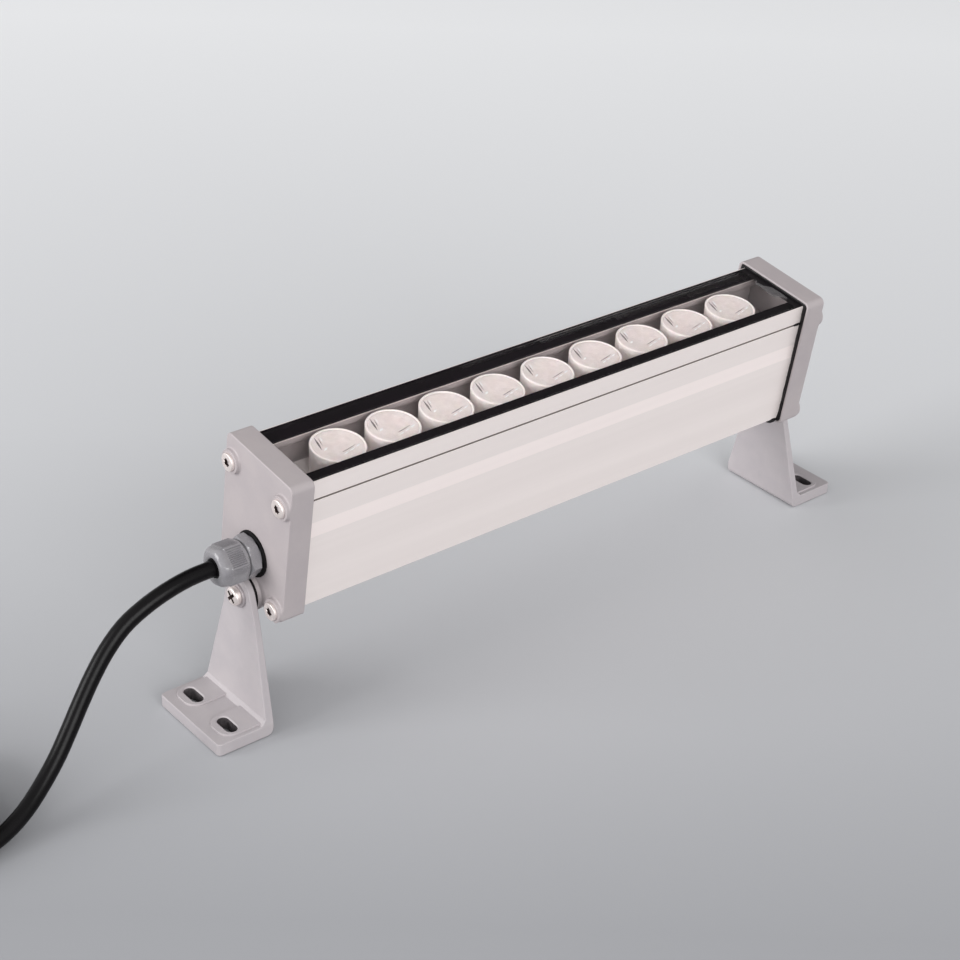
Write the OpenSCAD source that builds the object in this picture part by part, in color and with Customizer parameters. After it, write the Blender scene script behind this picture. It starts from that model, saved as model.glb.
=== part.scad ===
// Outdoor wall washer light: an extruded aluminium head with a row of lensed
// LEDs under glass, hung between two foot brackets that let it tilt.
// X runs across the light, Y along it with the cable gland at -Y, and Z up
// from the surface that the bracket feet stand on. Millimetres.

/* [Light row] */
// Distance from one lens to the next
lens_pitch = 28; // [26:0.5:34]
// Number of lenses in the row
lens_count = 9; // [5:1:14]
// Outer radius of a lens cup at its rim
cup_r = 11.9; // [11:0.1:12.6]
// Outer radius of a lens cup at its foot
cup_foot_r = 10.9; // [10:0.1:11.4]
// Height of a lens cup above the light board
cup_h = 14.6; // [12:0.2:18]
// Thickness of a lens cup's rim
cup_wall = 1; // [0.8:0.1:1.4]
// Depth of a lens flange below the rim of its cup
cup_rim_depth = 2; // [1.6:0.1:3]
// Thickness of a lens flange
lens_flange_t = 1.2; // [0.8:0.1:1.6]
// Hollow in the middle of a lens face
lens_dish = 0.8; // [0.4:0.1:1]
// Width and length of an LED
led_w = 3.5; // [3:0.1:4]
// Height of an LED without its dome
led_h = 1; // [0.7:0.1:1.2]
// Radius of an LED's dome
led_dome_r = 1.3; // [1:0.1:1.4]
// Thickness of the light board
board_t = 1.6; // [1:0.1:2]
// Thickness of the heat pad under the light board
pad_t = 0.5; // [0.3:0.1:1]

/* [Housing] */
// Width of the housing at its glass
housing_w = 39.4; // [38:0.2:48]
// Height of the housing
housing_h = 63.4; // [60:0.2:75]
// How much the lower part of each side stands out
waist_step = 0.3; // [0.1:0.05:0.6]
// Height at which the sides start to draw in
waist_low = 34.7; // [30:0.1:38]
// Height at which the sides have drawn in
waist_high = 42.4; // [40:0.1:46]
// Thickness of the side walls below their lips
wall_t = 1.8; // [1.5:0.1:2.4]
// Thickness of the bottom wall
floor_t = 2; // [1.5:0.1:3]
// Thickness of the shelf that carries the light board
shelf_t = 3; // [2:0.1:4]
// Thickness of the lip beside the glass
lip_t = 0.5; // [0.4:0.1:0.8]
// Thickness of the ledges that carry the glass
ledge_t = 1.4; // [1:0.1:2]
// Width of the ledges under the glass
ledge_w = 6.2; // [4:0.1:6.6]
// Radius of the holes that the end cap screws cut into
port_r = 1.65; // [1.62:0.01:1.8]
// Wall around these holes
port_wall = 1.2; // [0.8:0.1:1.4]
// Distance from the side of the housing to these holes
port_inset = 1.8; // [1.7:0.1:2.4]
// Distance from the bottom of the housing to the lower holes
port_low = 2.2; // [2:0.1:3]
// Distance from the top of the housing to the upper holes
port_drop = 8.9; // [8.8:0.1:10]
// Width of the groove along each side
groove_w = 0.8; // [0.5:0.1:1.2]

/* [Glass] */
// Thickness of the glass
glass_t = 3; // [2.5:0.1:4]
// Thickness of the black seal under the glass
seal_t = 1; // [0.6:0.1:1.5]
// Width of the clear window
window_w = 23.3; // [22:0.1:26]
// Black border between the window and the end cap
window_end = 4.7; // [3:0.1:6]
// Gap between the lens rims and the glass
lens_gap = 2; // [1:0.1:3]

/* [End caps] */
// Length from the last lens to the rim of the end cap
end_room = 27.7; // [24:0.1:40]
// Depth of an end cap along the light
cap_d = 11; // [10:0.1:14]
// Thickness of an end cap's face
end_wall = 4; // [3.5:0.1:5]
// Thickness of the rim around the housing
rim_wall = 1.2; // [1:0.1:2]
// Corner radius of an end cap
cap_corner_r = 3; // [2:0.1:4]
// Sealant between the housing's side and the rim
gasket_side = 2.3; // [1.8:0.1:3]
// Sealant between the glass and the rim
gasket_top = 1.5; // [1:0.1:2.5]
// Sealant between the bottom wall and the rim
gasket_bottom = 1; // [0.6:0.1:2]
// Thickness of the gasket between the housing's end and the cap
gasket_end = 1.2; // [0.8:0.1:2]
// Depth of the sealant's face below the rim
gasket_recess = 0.5; // [0:0.1:1]
// Core radius of an end cap screw
screw_r = 1.6; // [1.4:0.05:1.6]
// Length of an end cap screw under its head
screw_l = 16; // [12:0.5:20]
// Head radius of an end cap screw
screw_head_r = 4; // [3.5:0.1:4.2]
// Head height of an end cap screw
screw_head_h = 2.2; // [1.8:0.1:2.4]
// Radius of the raised seat under a screw head
screw_seat_r = 5.2; // [4.4:0.1:5.4]
// Height of the raised seat
screw_seat_t = 0.7; // [0.4:0.1:0.9]

/* [Tilt] */
// Height of the tilt axis above the mounting surface
pivot_h = 57.8; // [54:0.1:75]
// Height of the tilt axis above an end cap's lower edge
pivot_up = 2.2; // [2:0.1:4]
// Lean of the head at rest, in degrees
rest_lean = 7.8; // [-30:0.1:30]
// Radius of a tilt screw's shank
tilt_screw_r = 2.5; // [2:0.1:3]
// Length of a tilt screw under its head
tilt_screw_l = 10; // [9:0.5:10.5]
// Head radius of a tilt screw
tilt_head_r = 4.5; // [4:0.1:5]
// Head height of a tilt screw
tilt_head_h = 2.8; // [2.2:0.1:3.5]
// Radius of the steel washer
washer_r = 5.5; // [5.2:0.1:6.5]
// Thickness of the steel washer
washer_t = 0.9; // [0.8:0.1:1.2]
// Radius of the rubber friction washer
friction_r = 8.8; // [8:0.1:9]
// Thickness of the rubber friction washer
friction_t = 1.1; // [0.8:0.1:2]
// Radius of the round boss on the cap
boss_r = 8; // [7.5:0.1:8.6]
// Height of the boss above the cap's face
boss_t = 2; // [2:0.1:3]
// Radius of the lug behind the boss
lug_r = 8.5; // [8.2:0.1:9]

/* [Brackets] */
// Radius of a bracket's ear
ear_r = 9; // [8:0.1:10]
// Thickness of a bracket's ear
ear_t = 3; // [2.5:0.1:4]
// Added thickness of the plate where it meets the foot
plate_draft = 0.8; // [0:0.1:1.5]
// How far the plate leans out between the ear and the foot
plate_lean = 2; // [0:0.1:4]
// Width of the foot across the light
foot_w = 45.6; // [42:0.1:55]
// Length of the foot from the plate's inner face
foot_l = 27.2; // [25:0.1:35]
// Thickness of the foot
foot_t = 5.7; // [4:0.1:7]
// Corner radius of the foot
foot_corner_r = 2; // [1:0.1:4]
// Radius of the rounded heel
heel_r = 3; // [1:0.1:4]
// Radius of the fillet between plate and foot
fillet_r = 2; // [1:0.1:3]
// Width of a screw slot
slot_w = 5.2; // [4.5:0.1:6]
// Length of a screw slot from end to end
slot_l = 11.5; // [9:0.1:13]
// Distance between the two slots of a foot
slot_span = 26; // [24:0.1:28]
// Distance from a slot to the outer edge of the foot
slot_edge = 10.6; // [9:0.1:12]
// Height of the raised pad around a slot
pad_h = 0.8; // [0.4:0.1:1.2]
// Width of a raised pad
pad_w = 15.6; // [14:0.1:17]
// Distance from a pad to the outer edge of the foot
pad_edge = 4.7; // [3:0.1:6]
// Outer corner radius of a pad
pad_corner_r = 6; // [3:0.1:7]

/* [Cable gland] */
// Height of the gland above the tilt axis
gland_up = 19.1; // [19:0.1:24]
// Radius of the gland's thread
thread_r = 6; // [5.5:0.1:6.5]
// Radius of the black sealing ring
ring_r = 10.2; // [9.8:0.1:10.2]
// Thickness of the black sealing ring
ring_t = 1.5; // [1:0.1:2]
// Corner radius of the hexagonal base
base_r = 9.7; // [9:0.1:9.7]
// Thickness of the hexagonal base
base_t = 4.5; // [4:0.1:6]
// Gap between the base and the dome nut
nut_gap = 0.6; // [0.3:0.1:1]
// Corner radius of the dome nut
nut_r = 9.5; // [9:0.1:9.5]
// Length of the dome nut's hexagon
nut_l = 6.9; // [6:0.1:9]
// Radius of the dome where it leaves the hexagon
dome_r = 9; // [8.6:0.1:9]
// Length of the dome
dome_l = 6; // [5:0.1:8]
// Radius of the dome's nose
nose_r = 5.8; // [5.4:0.1:6.4]
// Outer radius of the threaded collar inside the dome nut
collar_r = 7.4; // [7:0.1:7.6]
// Length of the threaded collar
collar_l = 9; // [8:0.1:10]
// Corner radius of the lock nut
locknut_r = 8.7; // [8:0.1:9.5]
// Thickness of the lock nut
locknut_t = 3.5; // [3:0.1:4.5]

/* [Cable] */
// Diameter of the cable
cable_d = 7; // [6:0.1:7.4]
// Radius of a core with its insulation
core_r = 1.2; // [0.9:0.1:1.4]
// Length of the bare cores
core_l = 28; // [20:1:40]
// Radius of the coil's outermost turn
coil_r = 43; // [40:1:70]
// Distance from one turn to the next
coil_step = 7.8; // [7.8:0.1:9]
// Distance from one layer of turns to the next
coil_rise = 7.6; // [7.6:0.1:9]
// Width of the cable tie
tie_w = 3.6; // [2.5:0.1:5]
// Thickness of the cable tie
tie_t = 1; // [0.8:0.1:1.6]

/* [Driver] */
// Space between the driver and the gland end of the housing
wiring_room = 45; // [42:1:60]
// Space between the driver and the far end of the housing
far_room = 65; // [55:1:80]
// Height of the driver as a share of the lower chamber
driver_share = 0.763; // [0.7:0.001:0.9]
// Wall of the driver's case
case_t = 1.5; // [1:0.1:2]
// Height of the driver board above the floor of the case
post_h = 3; // [2:0.1:4]
// Length of the transformer
transformer_l = 24; // [18:0.5:26]
// Width of the transformer
transformer_w = 18; // [14:0.5:20]
// Radius of the large capacitors
can_r = 5; // [4:0.1:6]
// Outer radius of the ring choke
choke_r = 7.5; // [6:0.1:8]
// Height of the ring choke
choke_h = 6; // [4:0.1:8]
// Length of a crimped wire splice
splice_l = 12; // [10:0.5:14]

/* [Hidden] */
$fn = 64;

// Overrun of every cut
over = 1;
// Gap between pieces that are pushed together
fit = 0.1;
// Gap round a turning or screwed shank
run_fit = 0.05;

// The head is drawn upright about its tilt axis, at height zero
cable_r = cable_d / 2;
cap_low = -pivot_up;
base_z = cap_low + rim_wall + gasket_bottom;
top_z = base_z + housing_h;
cap_high = top_z + gasket_top + rim_wall;
cap_h = cap_high - cap_low;
cap_w = housing_w + 2 * (gasket_side + rim_wall);
pocket_w = cap_w - 2 * rim_wall;
pocket_h = cap_h - 2 * rim_wall;
pocket_r = cap_corner_r - rim_wall;

// Places along the light
row_l = (lens_count - 1) * lens_pitch;
rim_y = row_l / 2 + end_room;
cap_y = rim_y + cap_d;
pocket_y = cap_y - end_wall;
end_y = pocket_y - gasket_end;

// Places in the housing's section
glass_x = housing_w / 2 - lip_t - fit;
glass_z = top_z - glass_t;
seal_z = glass_z - seal_t;
ledge_x = housing_w / 2 - lip_t - ledge_w;
cup_top_z = glass_z - lens_gap;
board_top_z = cup_top_z - cup_h;
shelf_z = board_top_z - board_t - pad_t;
chamber_x = housing_w / 2 - wall_t;
floor_z = base_z + floor_t;
chamber_h = shelf_z - shelf_t - floor_z;
port_x = housing_w / 2 - port_inset;
port_low_z = base_z + port_low;
port_high_z = top_z - port_drop;
port_out_r = port_r + port_wall;
// The groove opens the upper hole just below its middle
groove_z = port_high_z - groove_w * 3 / 4;

// Light board
board_margin = 2.9;
board_x = chamber_x - board_margin;
// The connector stands just behind the last lens
connector_w = 6;
connector_l = 7;
connector_h = 4;
connector_back = 1;
connector_gap = 0.4;
connector_y = row_l / 2 + cup_foot_r + connector_gap;
board_y = connector_y + connector_l + connector_back;
led_room_r = 5.2;
cup_floor_t = 1.4;
cup_ledge_w = 1.2;
cup_ledge_r = cup_r - cup_wall - cup_ledge_w;
lens_clear = 0.3;
lens_z = cup_h - cup_rim_depth;
led_cavity_r = 2.6;
led_cavity_h = 2.6;
led_dome_h = 1;
board_screw_r = 1.05;
board_head_r = 2.3;
board_head_h = 1.5;
board_screw_edge = 2.8;
board_screw_x = board_x - board_screw_edge;
// The screw ends within the shelf
board_screw_l = board_t + pad_t + shelf_t * 3 / 4;
dish_steps = 8;

// Leads from the driver to the light board
lead_r = 0.75;
lead_gap = 2.4;
lead_x = board_x - connector_w / 2;
lead_out = 4.5;
lead_y = board_y + lead_out;
lead_up = 4.5;
grommet_bore_r = 2.4;
grommet_r = 3.2;
grommet_flange_r = 4;
grommet_flange_t = 0.8;
lead_bend = 3;
lead_sides = 8;
bend_steps = 4;

// Driver
driver_gap = 0.45;
driver_x = port_x - port_out_r - driver_gap;
driver_y0 = wiring_room - end_y;
driver_y1 = end_y - far_room;
driver_l = driver_y1 - driver_y0;
driver_h = chamber_h * driver_share;
post_r = 2.2;
driver_board_t = 1.6;
driver_board_z = floor_z + case_t + post_h;
parts_z = driver_board_z + driver_board_t;
board_lead_z = parts_z + lead_up;
parts_room = floor_z + driver_h - case_t - parts_z;
transformer_h = parts_room * 0.74;
can_h = parts_room * 0.79;
// The mains leads enter at this height
mains_z = floor_z + driver_h * 0.61;
// Places of the driver's parts, as shares of the driver's length
can_shares = [0.24, 0.82];
transformer_share = 0.56;
choke_share = 0.38;
chip_share = 0.7;
chip_w = 8;
chip_h = 3;

// Cable gland, drawn outwards from the cap's face
hex_z = ring_t;
collar_z = hex_z + base_t;
nut_z = collar_z + nut_gap;
dome_z = nut_z + nut_l;
nose_z = dome_z + dome_l;
collar_top_z = collar_z + collar_l;
bore_r = cable_r + 3 * fit;
nose_bore_r = cable_r + 7 * fit;
insert_r = cable_r + 2;
insert_l = 5;
nose_y = cap_y + nose_z;
jacket_room = 14;
jacket_end = end_y - jacket_room;
// Gap inside the nose between the head's length of cable and the free one
cable_gap = 0.3;
core_spread = 1.6;
core_places = [[-core_spread, -core_spread / 2], [0, core_spread], [core_spread, -core_spread / 2]];
mains_gap = 3.6;
splice_r = 1.7;
spread_l = 8;
spread_y = jacket_end - spread_l;
splice_y = spread_y - 6;
case_lead_in = 9;

// Cable outside the light. The route's points are places across the light,
// places along it from the gland's nose, and heights, and they lead to the coil
route_points = [
    [2.6, -11, 76.3], [2.5, -22, 74], [2, -32, 70], [1.5, -41, 64.5], [2.1, -49.5, 57],
    [3.5, -57, 48.7], [5.3, -64, 40], [7.6, -71, 31.3], [10.3, -78.5, 23], [13.5, -87.5, 15.5],
    [17.1, -97.5, 9.5], [20.5, -108.5, 6], [23, -120, 4.8], [24, -131.8, 4.7]
];
cable_sides = 12;
tie_gap = 0.2;
tie_head_w = 5.4;
tie_head_t = 3.4;
tie_head_h = 4.6;
coil_turns = 3.5;
coil_steps = 24;
coil_sides = 6;
ferrule_r = 1.1;
ferrule_l = 9;
collar_core_r = 1.7;
collar_core_l = 4;

exit_point = [gland_up * sin(rest_lean), -nose_y, pivot_h + gland_up * cos(rest_lean)];
route = concat([exit_point], [for (p = route_points) [p[0], p[1] - nose_y, p[2]]]);
route_end = route[len(route) - 1];
coil_mid = 180 * coil_turns;
coil_end = 360 * coil_turns;
coil_at = [route_end[0] - coil_r, route_end[1] - cable_d, cable_r + tie_t + tie_gap];

// The brackets, drawn upwards from the mounting surface
ear_y = cap_y + boss_t + friction_t;
ear_low_z = pivot_h - ear_r;
ear_top_z = pivot_h + ear_r;
heel_y = ear_y + plate_lean;
plate_y = heel_y + ear_t + plate_draft;
foot_y = heel_y + foot_l;
slot_y = foot_y - slot_edge;
arc_steps = 6;

// Half the width of the bracket's plate follows the tangent from foot to ear
flare_h = pivot_h - foot_t;
flare_reach = norm([foot_w / 2, flare_h]);
flare_angle = atan2(flare_h, -foot_w / 2) - asin(ear_r / flare_reach) - 90;
// The plate's edge ends this far inside the ear's outline
flare_tuck = 0.05;
flare_end_r = ear_r - flare_tuck;
flare_point = [flare_end_r * cos(flare_angle), pivot_h + flare_end_r * sin(flare_angle)];

// Place of the lens with this number
function lens_y(i) = (i - (lens_count - 1) / 2) * lens_pitch;

// Points of an arc about a centre, from one angle to another
function arc(centre, r, from, to) = [
    for (i = [0 : arc_steps])
        let (a = from + (to - from) * i / arc_steps)
        centre + r * [cos(a), sin(a)]
];

function unit(v) = v / norm(v);
function without(v, direction) = v - direction * (v * direction);

// Direction of a path at each point
function path_directions(path) = [
    for (i = [0 : len(path) - 1])
        unit(path[min(i + 1, len(path) - 1)] - path[max(i - 1, 0)])
];

// Sideways direction at each point, carried along the path without a twist
function path_sides(directions, side, i = 0) =
    i == len(directions) ? [] :
    let (here = unit(without(side, directions[i])))
    concat([here], path_sides(directions, here, i + 1));

// Rounds the corners of a path
function rounded_path(points, r) = concat(
    [points[0]],
    [
        for (i = [1 : len(points) - 2])
            let (corner = points[i])
            let (from = corner + r * unit(points[i - 1] - corner))
            let (to = corner + r * unit(points[i + 1] - corner))
            for (k = [0 : bend_steps])
                let (t = k / bend_steps)
                (1 - t) * (1 - t) * from + 2 * t * (1 - t) * corner + t * t * to
    ],
    [points[len(points) - 1]]
);

// One closed tube along a path
module tube(path, r, sides) {
    directions = path_directions(path);
    across = path_sides(directions, [0.2, 0.1, 1]);
    rings = [
        for (i = [0 : len(path) - 1])
            for (k = [0 : sides - 1])
                let (a = 360 * k / sides)
                path[i] + r * (cos(a) * across[i] + sin(a) * cross(directions[i], across[i]))
    ];
    last = (len(path) - 1) * sides;
    walls = [
        for (i = [0 : len(path) - 2])
            for (k = [0 : sides - 1])
                let (a = i * sides + k)
                let (b = i * sides + (k + 1) % sides)
                each [[a, a + sides, b], [b, a + sides, b + sides]]
    ];
    start_cap = [for (k = [1 : sides - 2]) [0, k, k + 1]];
    end_cap = [for (k = [1 : sides - 2]) [last, last + k + 1, last + k]];
    polyhedron(points = rings, faces = concat(walls, start_cap, end_cap), convexity = 10);
}

// Distance of the coil's middle line from its centre, and its height
function coil_reach(a) = coil_r - coil_step * (coil_mid - abs(a - coil_mid)) / 360;
function coil_climb(a) = min(1, max(0, (a - coil_mid + 90) / 180));
function coil_point(a) = coil_at + [
    coil_reach(a) * cos(a), -coil_reach(a) * sin(a), coil_rise * coil_climb(a)
];
coil_path = concat(
    [route_end],
    [for (i = [0 : coil_turns * coil_steps]) coil_point(360 * i / coil_steps)],
    [coil_point(coil_end) + [0, cable_d, 0]]
);
coil_gap = min([
    for (i = [0 : len(coil_path) - 1])
        for (k = [i + coil_steps / 2 : len(coil_path) - 1])
            norm(coil_path[i] - coil_path[k])
]) - cable_d;
coil_length = coil_turns * PI * 2 * (coil_r - coil_step * coil_turns / 4) + 2 * cable_d;
echo(coil_least_gap = coil_gap, coil_length = coil_length);

// Extrudes an outline drawn across the light, from y0 to y1
module along_y(y0, y1) {
    translate([0, y1, 0]) rotate([90, 0, 0]) linear_extrude(height = y1 - y0) children();
}

// Extrudes an outline drawn along the light, centred across it
module across_x(w) {
    translate([-w / 2, 0, 0]) rotate([90, 0, 90]) linear_extrude(height = w) children();
}

// Carries the upright head's pieces to the lean that it rests at
module head() {
    translate([0, 0, pivot_h]) rotate([0, rest_lean, 0]) children();
}

// Turns a piece of the far end into its twin at the gland end
module gland_end() {
    mirror([0, 1, 0]) children();
}

// Rectangle with round corners, standing on the line through its middle
module rounded(w, h, r) {
    translate([-w / 2 + r, 0]) square([w - 2 * r, h]);
    translate([-w / 2, r]) square([w, h - 2 * r]);
    for (x = [-w / 2 + r, w / 2 - r], z = [r, h - r]) translate([x, z]) circle(r);
}

// The four places of an end cap's screws
module at_ports() {
    for (x = [-port_x, port_x], z = [port_low_z, port_high_z]) translate([x, z]) children();
}

// Cap and gasket outlines
module cap_outline() {
    translate([0, cap_low]) rounded(cap_w, cap_h, cap_corner_r);
}
module pocket_outline() {
    translate([0, cap_low + rim_wall]) rounded(pocket_w, pocket_h, pocket_r);
}

// Outside of the housing
module body_outline() {
    low_x = housing_w / 2 + waist_step;
    high_x = housing_w / 2;
    polygon([
        [-low_x, base_z], [low_x, base_z], [low_x, base_z + waist_low],
        [high_x, base_z + waist_high], [high_x, top_z],
        [-high_x, top_z], [-high_x, base_z + waist_high], [-low_x, base_z + waist_low]
    ]);
}

// Hollows of the housing
module chamber_outline() {
    seat_x = housing_w / 2 - lip_t;
    translate([-chamber_x, floor_z]) square([2 * chamber_x, chamber_h]);
    translate([-chamber_x, shelf_z]) square([2 * chamber_x, seal_z - ledge_t - shelf_z]);
    translate([-ledge_x, shelf_z]) square([2 * ledge_x, top_z - shelf_z]);
    translate([-seat_x, seal_z]) square([2 * seat_x, top_z - seal_z + over]);
}

module housing() {
    color("gainsboro") head() difference() {
        along_y(-end_y, end_y) difference() {
            union() {
                difference() {
                    body_outline();
                    chamber_outline();
                }
                intersection() {
                    body_outline();
                    at_ports() circle(port_out_r);
                }
            }
            at_ports() circle(port_r);
            for (side = [0, 1]) mirror([side, 0])
                translate([port_x, groove_z - groove_w / 2]) square([port_inset + over, groove_w]);
        }
        // Hole in the shelf for the leads to the light board
        translate([lead_x, lead_y, shelf_z - shelf_t - over])
            cylinder(r = grommet_r, h = shelf_t + 2 * over);
        for (i = [0 : lens_count - 2]) at_board_screw(i)
            translate([0, 0, -board_screw_l - fit])
                cylinder(r = board_screw_r + run_fit, h = board_screw_l + over, $fn = 24);
    }
}

module glass() {
    color("lightblue", 0.35) head()
        translate([-glass_x, -end_y, glass_z]) cube([2 * glass_x, 2 * end_y, glass_t]);
}

module glass_seal() {
    window_l = 2 * (rim_y - window_end);
    color("#151318") head() difference() {
        translate([-glass_x, -end_y, seal_z]) cube([2 * glass_x, 2 * end_y, seal_t]);
        translate([-window_w / 2, -window_l / 2, seal_z - over])
            cube([window_w, window_l, seal_t + 2 * over]);
    }
}

// End cap of the far end, with its tilt boss
module end_cap() {
    difference() {
        union() {
            along_y(rim_y, cap_y) cap_outline();
            along_y(pocket_y, cap_y) circle(lug_r);
            along_y(cap_y - over, cap_y + boss_t) circle(boss_r);
            along_y(cap_y - over, cap_y + screw_seat_t) intersection() {
                cap_outline();
                at_ports() circle(screw_seat_r);
            }
        }
        along_y(rim_y - over, pocket_y) pocket_outline();
        along_y(pocket_y - over, cap_y + screw_seat_t + over)
            at_ports() circle(screw_r + 2 * fit, $fn = 32);
        along_y(cap_y + boss_t + friction_t + ear_t + washer_t - tilt_screw_l - fit, cap_y + boss_t + over)
            circle(tilt_screw_r + run_fit);
    }
}

module end_cap_gland() {
    color("#b0a9ac") head() difference() {
        gland_end() end_cap();
        along_y(-cap_y - over, -pocket_y + over) translate([0, gland_up]) circle(thread_r + fit);
    }
}

module end_cap_far() {
    color("#b0a9ac") head() end_cap();
}

// Sealant in the rim and the flat gasket behind the housing's end
module gasket() {
    along_y(rim_y + gasket_recess, end_y) difference() {
        pocket_outline();
        body_outline();
    }
    along_y(end_y, pocket_y) difference() {
        pocket_outline();
        translate([-ledge_x, port_low_z + port_out_r])
            square([2 * ledge_x, port_high_z - port_low_z - 2 * port_out_r]);
        at_ports() circle(screw_r + 2 * fit, $fn = 32);
    }
}

module gasket_gland() {
    color("#151318") head() gland_end() gasket();
}

module gasket_far() {
    color("#151318") head() gasket();
}

// Screw with a low round head and a hexagonal socket, drawn upwards with the
// underside of its head at height zero
module socket_screw(r, l, head_r, head_h) {
    socket_r_share = 0.5;
    socket_h_share = 0.6;
    edge_share = 0.8;
    difference() {
        union() {
            translate([0, 0, -l]) cylinder(r = r, h = l + head_h / 2, $fn = 32);
            rotate_extrude() polygon([
                [0, 0], [head_r, 0], [head_r, head_h / 2],
                [head_r * edge_share, head_h], [0, head_h]
            ]);
        }
        translate([0, 0, head_h * (1 - socket_h_share)])
            cylinder(r = head_r * socket_r_share, h = head_h, $fn = 6);
    }
}

module cap_screws() {
    for (x = [-port_x, port_x], z = [port_low_z, port_high_z])
        translate([x, cap_y + screw_seat_t, z]) rotate([-90, 0, 0])
            socket_screw(screw_r, screw_l, screw_head_r, screw_head_h);
}

module cap_screws_gland() {
    color("#cfc8c6") head() gland_end() cap_screws();
}

module cap_screws_far() {
    color("#cfc8c6") head() cap_screws();
}

// Light board with its screws in zigzag between the lenses
module at_board_screw(i) {
    side = i % 2 == 0 ? 1 : -1;
    translate([side * board_screw_x, lens_y(i + 0.5), board_top_z]) children();
}

module board_plate(z, t) {
    difference() {
        translate([-board_x, -board_y, z]) cube([2 * board_x, 2 * board_y, t]);
        for (i = [0 : lens_count - 2]) at_board_screw(i)
            translate([0, 0, -board_t - pad_t - over])
                cylinder(r = board_screw_r + 2 * fit, h = board_t + pad_t + 2 * over, $fn = 24);
    }
}

module light_board() {
    color("whitesmoke") head() board_plate(board_top_z - board_t, board_t);
}

module heat_pad() {
    color("#7d8794") head() board_plate(shelf_z, pad_t);
}

module leds() {
    color("#e8dfa0") head() for (i = [0 : lens_count - 1]) translate([0, lens_y(i), board_top_z]) {
        translate([-led_w / 2, -led_w / 2, 0]) cube([led_w, led_w, led_h]);
        cylinder(r = led_dome_r, h = led_h + led_dome_h, $fn = 24);
    }
}

module lens_cups() {
    color("white") head() for (i = [0 : lens_count - 1]) translate([0, lens_y(i), board_top_z])
        rotate_extrude() polygon([
            [led_room_r, 0], [cup_foot_r, 0], [cup_r, cup_h], [cup_r - cup_wall, cup_h],
            [cup_r - cup_wall, lens_z], [cup_ledge_r, lens_z], [led_room_r, cup_floor_t]
        ]);
}

// Lens with a dished face, a flange and a cone that the LED looks into
module lens() {
    flange_r = cup_r - cup_wall - fit;
    cone_r = cup_ledge_r - lens_clear;
    foot_r = led_room_r - lens_clear;
    foot_z = cup_floor_t + lens_clear;
    face_z = lens_z + lens_flange_t;
    face = [
        for (i = [0 : dish_steps])
            let (share = 1 - i / dish_steps)
            [flange_r * share, face_z - lens_dish * (1 - share * share)]
    ];
    rotate_extrude() polygon(concat(
        [
            [0, foot_z + led_cavity_h], [led_cavity_r, foot_z + led_cavity_h],
            [led_cavity_r, foot_z], [foot_r, foot_z], [cone_r, lens_z], [flange_r, lens_z]
        ],
        face
    ));
}

module lenses() {
    color("aliceblue", 0.6) head()
        for (i = [0 : lens_count - 1]) translate([0, lens_y(i), board_top_z]) lens();
}

module board_screws() {
    color("silver") head() for (i = [0 : lens_count - 2]) at_board_screw(i) {
        translate([0, 0, -board_screw_l]) cylinder(r = board_screw_r, h = board_screw_l, $fn = 24);
        difference() {
            cylinder(r = board_head_r, h = board_head_h, $fn = 32);
            translate([0, 0, board_head_h / 2]) cylinder(r = board_head_r / 2, h = board_head_h, $fn = 6);
        }
    }
}

// Connector and leads between the driver and the light board
module board_connector() {
    color("white") head()
        translate([lead_x - connector_w / 2, connector_y, board_top_z])
            cube([connector_w, connector_l, connector_h]);
}

module lead_grommet() {
    color("#202024") head() translate([lead_x, lead_y, shelf_z - shelf_t - grommet_flange_t])
        rotate_extrude() polygon([
            [grommet_bore_r, 0], [grommet_flange_r, 0], [grommet_flange_r, grommet_flange_t],
            [grommet_r, grommet_flange_t], [grommet_r, grommet_flange_t + shelf_t],
            [grommet_flange_r, grommet_flange_t + shelf_t],
            [grommet_flange_r, 2 * grommet_flange_t + shelf_t],
            [grommet_bore_r, 2 * grommet_flange_t + shelf_t]
        ]);
}

module board_leads() {
    high_z = board_top_z + connector_h / 2;
    head() for (side = [-1, 1])
        color(side > 0 ? "#b02020" : "#202024")
            tube(rounded_path([
                [lead_x + side * lead_gap / 2, driver_y1, board_lead_z],
                [lead_x + side * lead_gap / 2, lead_y, board_lead_z],
                [lead_x + side * lead_gap / 2, lead_y, high_z],
                [lead_x + side * lead_gap / 2, connector_y + connector_l, high_z]
            ], lead_bend), lead_r, lead_sides);
}

// Driver that turns the mains into the light board's current
module driver_case() {
    inner_x = driver_x - case_t;
    color("#3a3c40") head() difference() {
        union() {
            difference() {
                translate([-driver_x, driver_y0, floor_z])
                    cube([2 * driver_x, driver_l, driver_h - case_t]);
                translate([-inner_x, driver_y0 + case_t, floor_z + case_t])
                    cube([2 * inner_x, driver_l - 2 * case_t, driver_h]);
            }
            for (x = [-inner_x + post_r, inner_x - post_r])
                for (y = [driver_y0 + case_t + post_r, driver_y1 - case_t - post_r])
                    translate([x, y, floor_z]) cylinder(r = post_r, h = case_t + post_h, $fn = 32);
        }
        for (k = [-1 : 1])
            translate([k * mains_gap, driver_y0 + case_t + over, mains_z]) rotate([90, 0, 0])
                cylinder(r = core_r + fit, h = case_t + 2 * over, $fn = 32);
    }
}

module driver_lid() {
    color("#3a3c40") head()
        translate([-driver_x, driver_y0, floor_z + driver_h - case_t])
            cube([2 * driver_x, driver_l, case_t]);
}

module driver_board() {
    board_half = driver_x - case_t - fit;
    color("darkgreen") head()
        translate([-board_half, driver_y0 + case_t + fit, driver_board_z])
            cube([2 * board_half, driver_l - 2 * (case_t + fit), driver_board_t]);
}

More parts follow.
